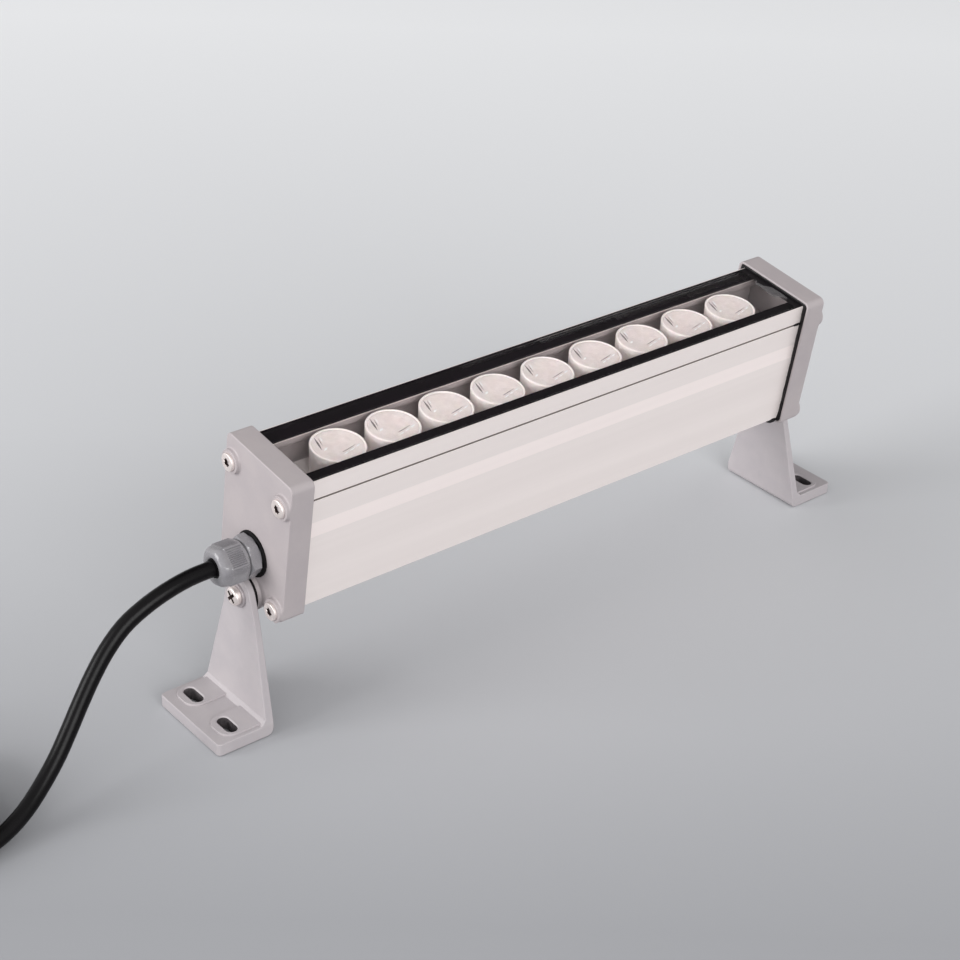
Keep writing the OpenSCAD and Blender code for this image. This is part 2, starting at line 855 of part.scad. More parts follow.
// Transformer, capacitors, ring choke and switching chip
module driver_parts() {
    winding_share = 0.6;
    head() {
        translate([0, driver_y0 + driver_l * transformer_share, parts_z]) {
            color("#403830") translate([-transformer_w / 2, -transformer_l / 2, 0])
                cube([transformer_w, transformer_l, transformer_h * winding_share]);
            color("#c8a020") translate([-transformer_w / 2, -transformer_l * winding_share / 2, 0])
                cube([transformer_w, transformer_l * winding_share, transformer_h]);
        }
        for (share = can_shares) translate([0, driver_y0 + driver_l * share, parts_z]) {
            color("#303848") cylinder(r = can_r, h = can_h);
        }
        translate([0, driver_y0 + driver_l * choke_share, parts_z]) color("#a05020") difference() {
            cylinder(r = choke_r, h = choke_h);
            translate([0, 0, -over]) cylinder(r = choke_r / 2, h = choke_h + 2 * over);
        }
        translate([-chip_w / 2, driver_y0 + driver_l * chip_share, parts_z])
            color("#202024") cube([chip_w, chip_w, chip_h]);
    }
}

// Cores of the supply cable from its jacket to the driver's board
module mains_leads() {
    shades = ["#3f6fb5", "#c8c030", "#6b4428"];
    y1 = driver_y0 + case_t + case_lead_in;
    head() for (k = [-1 : 1]) let (place = core_places[k + 1])
        color(shades[k + 1])
            tube(rounded_path([
                [place[0], -jacket_end, gland_up + place[1]],
                [place[0], -jacket_end + lead_bend, gland_up + place[1]],
                [k * mains_gap, -spread_y, mains_z],
                [k * mains_gap, y1, mains_z],
                [k * mains_gap, y1, parts_z]
            ], lead_bend / 2), core_r, lead_sides);
}

module wire_splices() {
    color("#b03030") head() for (k = [-1 : 1])
        translate([k * mains_gap, -splice_y, mains_z]) rotate([-90, 0, 0])
            difference() {
                cylinder(r = splice_r, h = splice_l, $fn = 32);
                translate([0, 0, -over]) cylinder(r = core_r + run_fit, h = splice_l + 2 * over, $fn = 32);
            }
}

// Places a piece of the gland, drawn upwards from the cap's face
module at_gland() {
    head() translate([0, -cap_y, gland_up]) rotate([90, 0, 0]) children();
}

// Cable inside the gland and the cap
module cable_end() {
    color("#17151a") at_gland() translate([0, 0, jacket_end - cap_y])
        cylinder(r = cable_r, h = nose_z + cap_y - jacket_end - cable_gap);
}

module gland_ring() {
    color("#151318") at_gland() difference() {
        cylinder(r = ring_r, h = ring_t);
        translate([0, 0, -over]) cylinder(r = thread_r + fit, h = ring_t + 2 * over);
    }
}

module gland_body() {
    thread_l = end_wall + locknut_t + ring_t;
    color("#a4a0a8") at_gland() difference() {
        union() {
            translate([0, 0, hex_z - thread_l - over]) cylinder(r = thread_r, h = thread_l + 2 * over);
            translate([0, 0, hex_z]) cylinder(r = base_r, h = base_t, $fn = 6);
            translate([0, 0, hex_z]) cylinder(r = collar_r, h = base_t + collar_l);
        }
        translate([0, 0, hex_z - thread_l - 2 * over]) cylinder(r = bore_r, h = nose_z + thread_l);
        translate([0, 0, collar_top_z - insert_l]) cylinder(r = insert_r + fit, h = insert_l + over);
    }
}

module gland_locknut() {
    color("#a4a0a8") at_gland() translate([0, 0, -end_wall - locknut_t]) difference() {
        cylinder(r = locknut_r, h = locknut_t, $fn = 6);
        translate([0, 0, -over]) cylinder(r = thread_r + run_fit, h = locknut_t + 2 * over);
    }
}

// Dome nut: a hexagon that runs into a round dome with an open nose
module gland_nut() {
    inner_z = collar_top_z + 2 * fit;
    seat_z = inner_z + insert_r - nose_bore_r;
    color("#a4a0a8") at_gland() difference() {
        union() {
            translate([0, 0, nut_z]) cylinder(r = nut_r, h = nut_l, $fn = 6);
            rotate_extrude() polygon(concat(
                [[0, dome_z - over], [dome_r, dome_z - over]],
                [
                    for (i = [0 : arc_steps])
                        let (a = 90 * i / arc_steps)
                        [nose_r + (dome_r - nose_r) * cos(a), dome_z + dome_l * sin(a)]
                ],
                [[0, nose_z]]
            ));
        }
        translate([0, 0, nut_z - over]) cylinder(r = collar_r + fit, h = inner_z - nut_z + over);
        translate([0, 0, nut_z]) cylinder(r = nose_bore_r, h = nose_z);
        rotate_extrude() polygon([
            [0, inner_z - over], [insert_r + 2 * fit, inner_z - over], [insert_r + 2 * fit, inner_z],
            [nose_bore_r, seat_z], [0, seat_z]
        ]);
    }
}

// Rubber insert that the dome presses round the cable
module gland_insert() {
    low_z = collar_top_z - insert_l;
    high_z = collar_top_z;
    tip_r = nose_bore_r - fit;
    color("#151318") at_gland() rotate_extrude() polygon([
        [cable_r + run_fit, low_z], [insert_r, low_z], [insert_r, high_z],
        [tip_r, high_z + insert_r - tip_r], [tip_r, nose_z - fit], [cable_r + run_fit, nose_z - fit]
    ]);
}

// Pieces of the tilt joint at the far end
module tilt_screw() {
    seat_y = ear_y + ear_t + washer_t;
    cross_w = 1.1;
    cross_share = 0.62;
    dome_share = 0.7;
    translate([0, seat_y, 0]) rotate([-90, 0, 0]) difference() {
        union() {
            translate([0, 0, -tilt_screw_l]) cylinder(r = tilt_screw_r, h = tilt_screw_l + over);
            rotate_extrude() polygon(concat(
                [[0, 0], [tilt_head_r, 0]],
                [
                    for (i = [0 : arc_steps])
                        let (a = 90 * i / arc_steps)
                        [
                            tilt_head_r * (dome_share + (1 - dome_share) * cos(a)),
                            tilt_head_h * (1 - dome_share + dome_share * sin(a))
                        ]
                ],
                [[0, tilt_head_h]]
            ));
        }
        for (turn = [0, 90]) rotate([0, 0, turn])
            translate([-tilt_head_r * cross_share, -cross_w / 2, tilt_head_h / 3])
                cube([2 * tilt_head_r * cross_share, cross_w, tilt_head_h]);
    }
}

module tilt_washer() {
    along_y(ear_y + ear_t, ear_y + ear_t + washer_t) difference() {
        circle(washer_r);
        circle(tilt_screw_r + fit);
    }
}

module friction_washer() {
    along_y(cap_y + boss_t, ear_y) difference() {
        circle(friction_r);
        circle(tilt_screw_r + fit);
    }
}

module tilt_screw_gland() {
    color("#d6d0cc") head() gland_end() tilt_screw();
}
module tilt_screw_far() {
    color("#d6d0cc") head() tilt_screw();
}
module tilt_washer_gland() {
    color("#c0bab8") head() gland_end() tilt_washer();
}
module tilt_washer_far() {
    color("#c0bab8") head() tilt_washer();
}
module friction_washer_gland() {
    color("#151318") head() gland_end() friction_washer();
}
module friction_washer_far() {
    color("#151318") head() friction_washer();
}

// Slot along X, centred on the origin
module slot_outline(l, w) {
    square([l - w, w], center = true);
    for (x = [-(l - w) / 2, (l - w) / 2]) translate([x, 0]) circle(w / 2);
}

// Bracket of the far end: ear, drafted plate, foot and two slotted pads
module bracket() {
    fillet_y = plate_y + fillet_r;
    pad_y = foot_y - pad_edge;
    difference() {
        union() {
            intersection() {
                // Side view
                across_x(foot_w) polygon(concat(
                    [[ear_y, ear_top_z], [ear_y, ear_low_z]],
                    arc([heel_y + heel_r, heel_r], heel_r, 180, 270),
                    [[foot_y, 0], [foot_y, foot_t]],
                    arc([fillet_y, foot_t + fillet_r], fillet_r, 270, 180),
                    [[ear_y + ear_t, ear_low_z], [ear_y + ear_t, ear_top_z]]
                ));
                // Front view
                along_y(ear_y - over, foot_y + over) {
                    translate([0, pivot_h]) circle(ear_r);
                    polygon([
                        [-foot_w / 2, 0], [foot_w / 2, 0], [foot_w / 2, foot_t], flare_point,
                        [-flare_point[0], flare_point[1]], [-foot_w / 2, foot_t]
                    ]);
                }
                // Plan view, with the foot's round corners
                linear_extrude(height = ear_top_z) translate([0, ear_y - foot_corner_r])
                    rounded(foot_w, foot_y - ear_y + foot_corner_r, foot_corner_r);
            }
            // Raised pads
            for (x = [-slot_span / 2, slot_span / 2]) translate([x, 0, 0])
                linear_extrude(height = foot_t + pad_h) {
                    translate([-pad_w / 2, plate_y]) square([pad_w, pad_y - pad_corner_r - plate_y]);
                    translate([-pad_w / 2 + pad_corner_r, plate_y])
                        square([pad_w - 2 * pad_corner_r, pad_y - plate_y]);
                    for (side = [-1, 1])
                        translate([side * (pad_w / 2 - pad_corner_r), pad_y - pad_corner_r])
                            circle(pad_corner_r);
                }
        }
        along_y(ear_y - over, ear_y + ear_t + over) translate([0, pivot_h])
            circle(tilt_screw_r + run_fit);
        for (x = [-slot_span / 2, slot_span / 2]) translate([x, slot_y, -over])
            linear_extrude(height = foot_t + pad_h + 2 * over) slot_outline(slot_l, slot_w);
    }
}

module bracket_gland() {
    color("#c5bdbe") gland_end() bracket();
}

module bracket_far() {
    color("#c5bdbe") bracket();
}

// Supply cable from the gland to the coil
module supply_cable() {
    color("#17151a") tube(route, cable_r, cable_sides);
}

module cable_coil() {
    color("#17151a") tube(coil_path, cable_r, coil_sides);
}

// Tie round the four strands of the coil that lie beside and on each other
module coil_tie() {
    tie_r = (coil_reach(90) + coil_reach(450)) / 2;
    hole_w = coil_step + cable_d + 2 * tie_gap;
    hole_h = coil_rise + cable_d + 2 * tie_gap;
    color("#e8e8ea") translate([coil_at[0], coil_at[1] - tie_r, tie_t + hole_h / 2]) {
        across_x(tie_w) difference() {
            square([hole_w + 2 * tie_t, hole_h + 2 * tie_t], center = true);
            square([hole_w, hole_h], center = true);
        }
        translate([-tie_head_w / 2, -tie_head_h / 2, hole_h / 2 + tie_t])
            cube([tie_head_w, tie_head_h, tie_head_t]);
    }
}

// Bare cores at the cable's end, with their ferrules
core_root = coil_point(coil_end) + [0, cable_d, 0];
function core_tip(k) = core_root + [
    2 * core_places[k][0], core_l, core_places[k][1] - cable_r / 2
];

module cable_cores() {
    shades = ["#3f6fb5", "#c8c030", "#6b4428"];
    for (k = [0 : 2]) let (start = core_root + [core_places[k][0], 0, core_places[k][1]])
        color(shades[k])
            tube(rounded_path([
                start, start + [0, core_l / 4, 0],
                core_tip(k) - [0, core_l / 4, 0], core_tip(k)
            ], lead_bend), core_r, lead_sides);
}

module core_ferrules() {
    color("silver") for (k = [0 : 2]) translate(core_tip(k)) rotate([-90, 0, 0]) {
        cylinder(r = ferrule_r, h = ferrule_l, $fn = 24);
        cylinder(r = collar_core_r, h = collar_core_l, $fn = 24);
    }
}

housing();
glass();
glass_seal();
end_cap_gland();
end_cap_far();
gasket_gland();
gasket_far();
cap_screws_gland();
cap_screws_far();
light_board();
heat_pad();
leds();
lens_cups();
lenses();
board_screws();
board_connector();
lead_grommet();
board_leads();
driver_case();
driver_lid();
driver_board();
driver_parts();
mains_leads();
wire_splices();
cable_end();
gland_body();
gland_nut();
gland_insert();
gland_ring();
gland_locknut();
tilt_screw_gland();
tilt_screw_far();
tilt_washer_gland();
tilt_washer_far();
friction_washer_gland();
friction_washer_far();
bracket_gland();
bracket_far();
supply_cable();
cable_coil();
coil_tie();
cable_cores();
core_ferrules();
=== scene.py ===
"""Outdoor wall washer light, dressed round its packed construction.

X runs across the light, Y along it with the cable gland at -Y, and Z up from the surface
that the bracket feet stand on. Sizes in the classes are millimetres, and the meshes that
they make are written in metres. The head is drawn upright about its tilt axis and then
carried to the lean that it rests at.
"""

import logging
import math
from dataclasses import dataclass, field
from enum import Enum
from typing import Callable, Optional, Sequence

import bmesh
import bpy
from mathutils import Matrix, Vector, noise
from mathutils.geometry import tessellate_polygon


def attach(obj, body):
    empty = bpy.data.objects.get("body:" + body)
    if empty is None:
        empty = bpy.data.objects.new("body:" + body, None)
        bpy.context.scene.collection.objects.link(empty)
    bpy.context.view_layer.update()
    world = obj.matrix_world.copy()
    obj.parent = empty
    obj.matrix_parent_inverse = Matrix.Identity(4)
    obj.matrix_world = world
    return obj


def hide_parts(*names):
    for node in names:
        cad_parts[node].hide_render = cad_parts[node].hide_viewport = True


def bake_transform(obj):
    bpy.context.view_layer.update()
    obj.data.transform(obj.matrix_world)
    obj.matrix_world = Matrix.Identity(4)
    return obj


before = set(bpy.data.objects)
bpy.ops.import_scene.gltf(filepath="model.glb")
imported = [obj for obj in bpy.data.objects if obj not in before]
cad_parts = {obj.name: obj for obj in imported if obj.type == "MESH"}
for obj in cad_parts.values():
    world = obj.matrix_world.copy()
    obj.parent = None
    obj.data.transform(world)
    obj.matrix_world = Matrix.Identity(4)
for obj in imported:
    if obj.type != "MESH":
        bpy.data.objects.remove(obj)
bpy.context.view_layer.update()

log = logging.getLogger("wall_washer")

Pair = tuple[float, float]
Triple = tuple[float, float, float]
Section = Callable[[float], float]
Level = tuple[float, float | Section]

MM = 0.001
# Keeps a division clear of zero, and closes a turned form at its axis
TINY = 1e-6
AXIS_R = 0.01
# The most of a side that a corner's rounding takes, and how far a sharp corner may move when drawn in
EASE_SHARE = 0.45
INSET_LIMIT = 0.3
# Blender's noise keeps mostly between these, and patches of two shades meet between those
NOISE_LOW, NOISE_HIGH = 0.3, 0.7
DRIFT_LOW, DRIFT_HIGH = 0.35, 0.65
# How deep light goes into a waxy plastic, in millimetres
WAX_DEPTH = 3.0
PIVOT_H = 57.8
REST_LEAN = 7.8

# Carries the upright head's pieces to their lean above the tilt axis
HEAD = Matrix.Translation((0, 0, PIVOT_H)) @ Matrix.Rotation(math.radians(REST_LEAN), 4, "Y")
# Stands an outline of (x, z) places up, with its levels along Y
ALONG_Y = Matrix(((1, 0, 0, 0), (0, 0, 1, 0), (0, 1, 0, 0), (0, 0, 0, 1)))
# Stands an outline of (y, z) places up, with its levels along X
ACROSS_X = Matrix(((0, 0, 1, 0), (1, 0, 0, 0), (0, 1, 0, 0), (0, 0, 0, 1)))
# Lays a turned piece's axis along +Y, or along -Y
OUT_FAR = Matrix.Rotation(math.radians(-90), 4, "X")
OUT_GLAND = Matrix.Rotation(math.radians(90), 4, "X")


class Body(Enum):
    """The bodies that pieces ride on."""

    HEAD = "head"
    NEAR_BRACKET = "near_bracket"
    FAR_BRACKET = "far_bracket"


class End(Enum):
    """The light's two ends, by the sign of their direction along Y."""

    GLAND = -1
    FAR = 1

    @property
    def word(self) -> str:
        """The end's word in the names of pieces."""
        return self.name.lower()

    @property
    def bracket_body(self) -> Body:
        """The body of this end's bracket."""
        return Body.NEAR_BRACKET if self is End.GLAND else Body.FAR_BRACKET

    def place(self) -> Matrix:
        """Turns a piece that is drawn for the far end into this end's."""
        return Matrix.Diagonal((1, self.value, 1, 1))


# Lines and outlines


def eased(points: Sequence[Pair], ease: float, steps: int = 3, closed: bool = False) -> list[Pair]:
    """Rounds the corners of a line.

    Args:
        points: the line's corners.
        ease: how far from each corner its rounding starts.
        steps: how many spans each rounding has.
        closed: whether the last corner joins the first.

    Returns:
        The rounded line.
    """
    count = len(points)
    line: list[Pair] = []
    for i, corner in enumerate(points):
        if not closed and i in (0, count - 1):
            line.append(corner)
            continue
        here = Vector(corner)
        back = Vector(points[i - 1]) - here
        on = Vector(points[(i + 1) % count]) - here
        back = back.normalized() * min(ease, EASE_SHARE * back.length)
        on = on.normalized() * min(ease, EASE_SHARE * on.length)
        for k in range(steps + 1):
            share = k / steps
            spot = here + back * (1 - share) ** 2 + on * share**2
            line.append((spot.x, spot.y))
    return line


def inset(outline: Sequence[Pair], distance: float) -> list[Pair]:
    """Draws an outline's points in by a distance.

    Args:
        outline: a closed outline, anticlockwise.
        distance: how far its edges move in.

    Returns:
        The smaller outline, with as many points.
    """
    count = len(outline)
    moved: list[Pair] = []
    for i in range(count):
        here = Vector(outline[i])
        a = (here - Vector(outline[i - 1])).normalized()
        b = (Vector(outline[(i + 1) % count]) - here).normalized()
        in_a, in_b = Vector((-a.y, a.x)), Vector((-b.y, b.x))
        spot = here + (in_a + in_b) * distance / max(1 + in_a.dot(in_b), INSET_LIMIT)
        moved.append((spot.x, spot.y))
    return moved


def rounded_box(x0: float, x1: float, y0: float, y1: float, r: float, steps: int = 6) -> list[Pair]:
    """Draws a rectangle with round corners.

    Args:
        x0, x1: its left and right sides.
        y0, y1: its lower and upper sides.
        r: corner radius.
        steps: spans in each corner.

    Returns:
        The outline, anticlockwise.
    """
    corners = ((x1 - r, y0 + r, -90), (x1 - r, y1 - r, 0), (x0 + r, y1 - r, 90), (x0 + r, y0 + r, 180))
    outline: list[Pair] = []
    for x, y, start in corners:
        for k in range(steps + 1):
            a = math.radians(start + 90 * k / steps)
            outline.append((x + r * math.cos(a), y + r * math.sin(a)))
    return outline


def quarter(steps: int) -> list[float]:
    """Angles of a quarter turn, in equal steps from nought."""
    return [math.pi / 2 * k / steps for k in range(steps + 1)]


def rounded_top(height: float, r: float, ease: float, steps: int) -> list[Pair]:
    """Levels of a turned form's rounded upper edge, as pairs of a height and a radius."""
    return [(height - ease * (1 - math.sin(a)), r - ease * (1 - math.cos(a))) for a in quarter(steps)]


def edge_levels(low: float, high: float, low_ease: float, high_ease: float, steps: int = 3) -> list[Pair]:
    """Lists the levels of a slab whose two edges are rounded.

    Args:
        low, high: heights of its faces.
        low_ease, high_ease: radius of the lower and the upper edge.
        steps: spans in each rounding.

    Returns:
        Pairs of a height and how far the outline is drawn in there.
    """
    turn = quarter(steps)
    lower = [(low + low_ease * (1 - math.cos(a)), low_ease * (1 - math.sin(a))) for a in turn]
    upper = [(high - high_ease * (1 - math.sin(a)), high_ease * (1 - math.cos(a))) for a in turn]
    return lower + upper


def off_flat(angle: float) -> float:
    """Angle from the middle of a hexagon's nearest flat."""
    return (angle % (math.pi / 3)) - math.pi / 6


def hexagon(corner: float, limit: float) -> Section:
    """Section of a hexagonal bar that is turned down to a limit.

    Args:
        corner: radius of its corners.
        limit: radius that it is turned down to.

    Returns:
        The section's radius at an angle.
    """

    def radius(angle: float) -> float:
        return min(corner * math.cos(math.pi / 6) / math.cos(off_flat(angle)), limit)

    return radius


def cross(arm: float, half_width: float) -> Section:
    """Section of a cross recess.

    Args:
        arm: length of an arm from the middle.
        half_width: half the width of an arm.

    Returns:
        The section's radius at an angle.
    """

    def radius(angle: float) -> float:
        from_arm = abs((angle + math.pi / 4) % (math.pi / 2) - math.pi / 4)
        return min(arm / math.cos(from_arm), half_width / max(math.sin(from_arm), TINY))

    return radius


def star(middle: float, depth: float) -> Section:
    """Section of a six-lobed socket.

    Args:
        middle: its mean radius.
        depth: how far its lobes reach beyond that.

    Returns:
        The section's radius at an angle.
    """
    return lambda angle: middle + depth * math.cos(6 * angle)


# Meshes


@dataclass
class Shell:
    """Points and faces of a piece in millimetres, before it becomes an object."""

    points: list[Vector] = field(default_factory=list)
    faces: list[tuple[int, ...]] = field(default_factory=list)
    shades: list[int] = field(default_factory=list)

    def add(
        self,
        points: Sequence[Vector],
        faces: Sequence[tuple[int, ...]],
        place: Matrix = Matrix(),
        shade: int = 0,
    ) -> None:
        """Adds a form, carried to its place, with its faces kept outwards.

        Args:
            points: the form's points.
            faces: the form's faces, by the numbers of their points.
            place: carries the form to its place.
            shade: number of the finish that its faces take.
        """
        base = len(self.points)
        self.points += [place @ Vector(p) for p in points]
        mirrored = place.determinant() < 0
        for face in faces:
            ring = tuple(base + k for k in face)
            self.faces.append(ring[::-1] if mirrored else ring)
            self.shades.append(shade)

    def skin(
        self,
        rings: Sequence[Sequence[Triple]],
        place: Matrix = Matrix(),
        looped: bool = False,
        shade: int = 0,
        last_spans: int = 0,
        last_shade: int = 1,
    ) -> None:
        """Skins a form through rings of equally many points.

        Args:
            rings: the rings, each anticlockwise about the way that they climb.
            place: carries the form to its place.
            looped: whether the last ring joins the first, or else both ends are closed.
            shade: number of the finish that its faces take.
            last_spans: how many of the last spans, with the end that closes them, take another finish.
            last_shade: number of that finish.
        """
        size = len(rings[0])
        points = [Vector(p) for ring in rings for p in ring]
        faces: list[tuple[int, ...]] = []
        spans = len(rings) if looped else len(rings) - 1
        for i in range(spans):
            a, b = i * size, (i + 1) % len(rings) * size
            for k in range(size):
                n = (k + 1) % size
                faces.append((a + k, a + n, b + n, b + k))
        if not looped:
            faces.append(tuple(range(size))[::-1])
            faces.append(tuple(range(len(points) - size, len(points))))
        self.add(points, faces, place, shade)
        if last_spans:
            first = len(self.faces) - len(faces) + (spans - last_spans) * size
            for k in range(first, first + last_spans * size):
                self.shades[k] = last_shade
            if not looped:
                self.shades[-1] = last_shade

    def turn(
        self,
        levels: Sequence[Level],
        place: Matrix = Matrix(),
        segments: int = 48,
        looped: bool = False,
        shade: int = 0,
        last_spans: int = 0,
    ) -> None:
        """Turns a form about its axis.

        Args:
            levels: pairs of a height and a radius, or a section where the form isn't round.
            place: carries the form to its place.
            segments: number of sides.
            looped: whether the last level joins the first, as in a washer.
            shade: number of the finish that its faces take.
            last_spans: how many of the last spans take the next finish.
        """
        angles = [2 * math.pi * k / segments for k in range(segments)]
        rings = []
        for z, size in levels:
            radii = [size(a) if callable(size) else size for a in angles]
            rings.append([(r * math.cos(a), r * math.sin(a), z) for r, a in zip(radii, angles)])
        self.skin(rings, place, looped, shade, last_spans, shade + 1)

    def slab(self, outline: Sequence[Pair], levels: Sequence[Pair], place: Matrix = Matrix()) -> None:
        """Builds a slab from an outline, with its edges rounded by its levels.

        Args:
            outline: a closed outline, anticlockwise.
            levels: pairs of a height and how far the outline is drawn in there.
            place: carries the slab to its place.
        """
        rings = [[(x, y, z) for x, y in inset(outline, draw)] for z, draw in levels]
        self.skin(rings, place)

    def profile(
        self, loops: Sequence[Sequence[Pair]], low: float, high: float, place: Matrix = Matrix()
    ) -> None:
        """Extrudes an outline with holes.

        Args:
            loops: the outside, anticlockwise, and then the holes, clockwise.
            low, high: the levels that it runs between.
            place: carries it to its place.
        """
        flat = [(x, y) for loop in loops for x, y in loop]
        size = len(flat)
        points = [Vector((x, y, z)) for z in (low, high) for x, y in flat]
        faces: list[tuple[int, ...]] = []
        start = 0
        for loop in loops:
            for k in range(len(loop)):
                a, b = start + k, start + (k + 1) % len(loop)
                faces.append((a, b, b + size, a + size))
            start += len(loop)
        for a, b, c in tessellate_polygon([[Vector((x, y, 0)) for x, y in loop] for loop in loops]):
            pa, pb, pc = Vector(flat[a]), Vector(flat[b]), Vector(flat[c])
            if (pb - pa).cross(pc - pa) < 0:
                b, c = c, b
            faces += [(c, b, a), (a + size, b + size, c + size)]
        self.add(points, faces, place)

    def mesh(self, name: str) -> bpy.types.Mesh:
        """Writes the shell as a mesh in metres.

        Args:
            name: the mesh's name.

        Returns:
            The mesh.
        """
        data = bpy.data.meshes.new(name)
        data.from_pydata([tuple(p * MM) for p in self.points], [], self.faces)
        data.polygons.foreach_set("material_index", self.shades)
        data.update()
        return data


def loose(name: str, shell: Shell) -> bpy.types.Object:
    """Makes an object of a shell, before it is cut or dressed.

    Args:
        name: the object's name.
        shell: its form.

    Returns:
        The object, in the scene.
    """
    item = bpy.data.objects.new(name, shell.mesh(name))
    bpy.context.scene.collection.objects.link(item)
    return item


def settle(item: bpy.types.Object) -> None:
    """Applies an object's modifiers to its mesh."""
    graph = bpy.context.evaluated_depsgraph_get()
    made = bpy.data.meshes.new_from_object(item.evaluated_get(graph))
    item.modifiers.clear()
    item.data = made


def carve(item: bpy.types.Object, shell: Shell, how: str = "DIFFERENCE") -> None:
    """Cuts, trims or joins an object with another form.

    Args:
        item: the object.
        shell: the form that cuts, trims or joins it.
        how: DIFFERENCE, INTERSECT or UNION.
    """
    tool = loose("tool", shell)
    step = item.modifiers.new("carve", "BOOLEAN")
    step.operation = how
    step.solver = "EXACT"
    step.object = tool
    settle(item)
    bpy.data.objects.remove(tool)


def soften(item: bpy.types.Object, width: float, segments: int, angle: float) -> None:
    """Rounds an object's sharp outer edges.

    Args:
        item: the object.
        width: width of the rounding.
        segments: spans across it.
        angle: degrees above which an edge is sharp.
    """
    form = bmesh.new()
    form.from_mesh(item.data)
    weight = form.edges.layers.float.new("bevel_weight_edge")
    for edge in form.edges:
        if edge.is_manifold and edge.is_convex and edge.calc_face_angle(0.0) > math.radians(angle):
            edge[weight] = 1.0
    form.to_mesh(item.data)
    form.free()
    step = item.modifiers.new("soften", "BEVEL")
    step.width = width * MM
    step.segments = segments
    step.limit_method = "WEIGHT"
    step.use_clamp_overlap = False
    settle(item)


def dress(
    item: bpy.types.Object,
    body: Body,
    finishes: Sequence["Finish"],
    replaces: Sequence[str] = (),
    crease: float = 40,
    rides: bool = True,
) -> bpy.types.Object:
    """Gives a piece its finishes and shading, and joins it to the frame.

    Args:
        item: the piece.
        body: the body that it rides on.
        finishes: its finishes, in the order of its faces' numbers.
        replaces: the solids that it stands for.
        crease: degrees above which an edge stays sharp.
        rides: whether it rides on the body, or else is left unattached.

    Returns:
        The piece.
    """
    data = item.data
    for finish in finishes:
        data.materials.append(finish.material())
    data.polygons.foreach_set("use_smooth", [True] * len(data.polygons))
    data.set_sharp_from_angle(angle=math.radians(crease))
    step = item.modifiers.new("even_faces", "WEIGHTED_NORMAL")
    step.keep_sharp = True
    if rides:
        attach(item, body.value)
    if replaces:
        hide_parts(*replaces)
    log.info("%s: %d faces on %s", item.name, len(data.polygons), body.value)
    return item


# Finishes


def linear(hex_colour: str) -> tuple[float, float, float, float]:
    """Turns an sRGB hex colour to linear.

    Args:
        hex_colour: such as #c8c4c0.

    Returns:
        Red, green, blue and an alpha of 1.
    """
    parts = [int(hex_colour[i : i + 2], 16) / 255 for i in (1, 3, 5)]
    red, green, blue = (p / 12.92 if p <= 0.04045 else ((p + 0.055) / 1.055) ** 2.4 for p in parts)
    return red, green, blue, 1.0


def add_node(
    tree: bpy.types.NodeTree,
    kind: str,
    settings: Optional[dict] = None,
    links: Optional[dict] = None,
    **choices: str,
) -> bpy.types.Node:
    """Adds a node with its settings and links.

    Args:
        tree: the node tree.
        kind: the node's type.
        settings: values by the name or number of an input.
        links: outputs by the name or number of the input that they feed.
        choices: the node's own options.

    Returns:
        The node.
    """
    node = tree.nodes.new(kind)
    for name, value in choices.items():
        setattr(node, name, value)
    for socket, value in (settings or {}).items():
        node.inputs[socket].default_value = value
    for socket, output in (links or {}).items():
        tree.links.new(output, node.inputs[socket])
    return node


class Grain(Enum):
    """How a surface's pattern runs."""

    EVEN = (1.0, 1.0, 1.0)
    LENGTHWISE = (1.0, 0.012, 1.0)


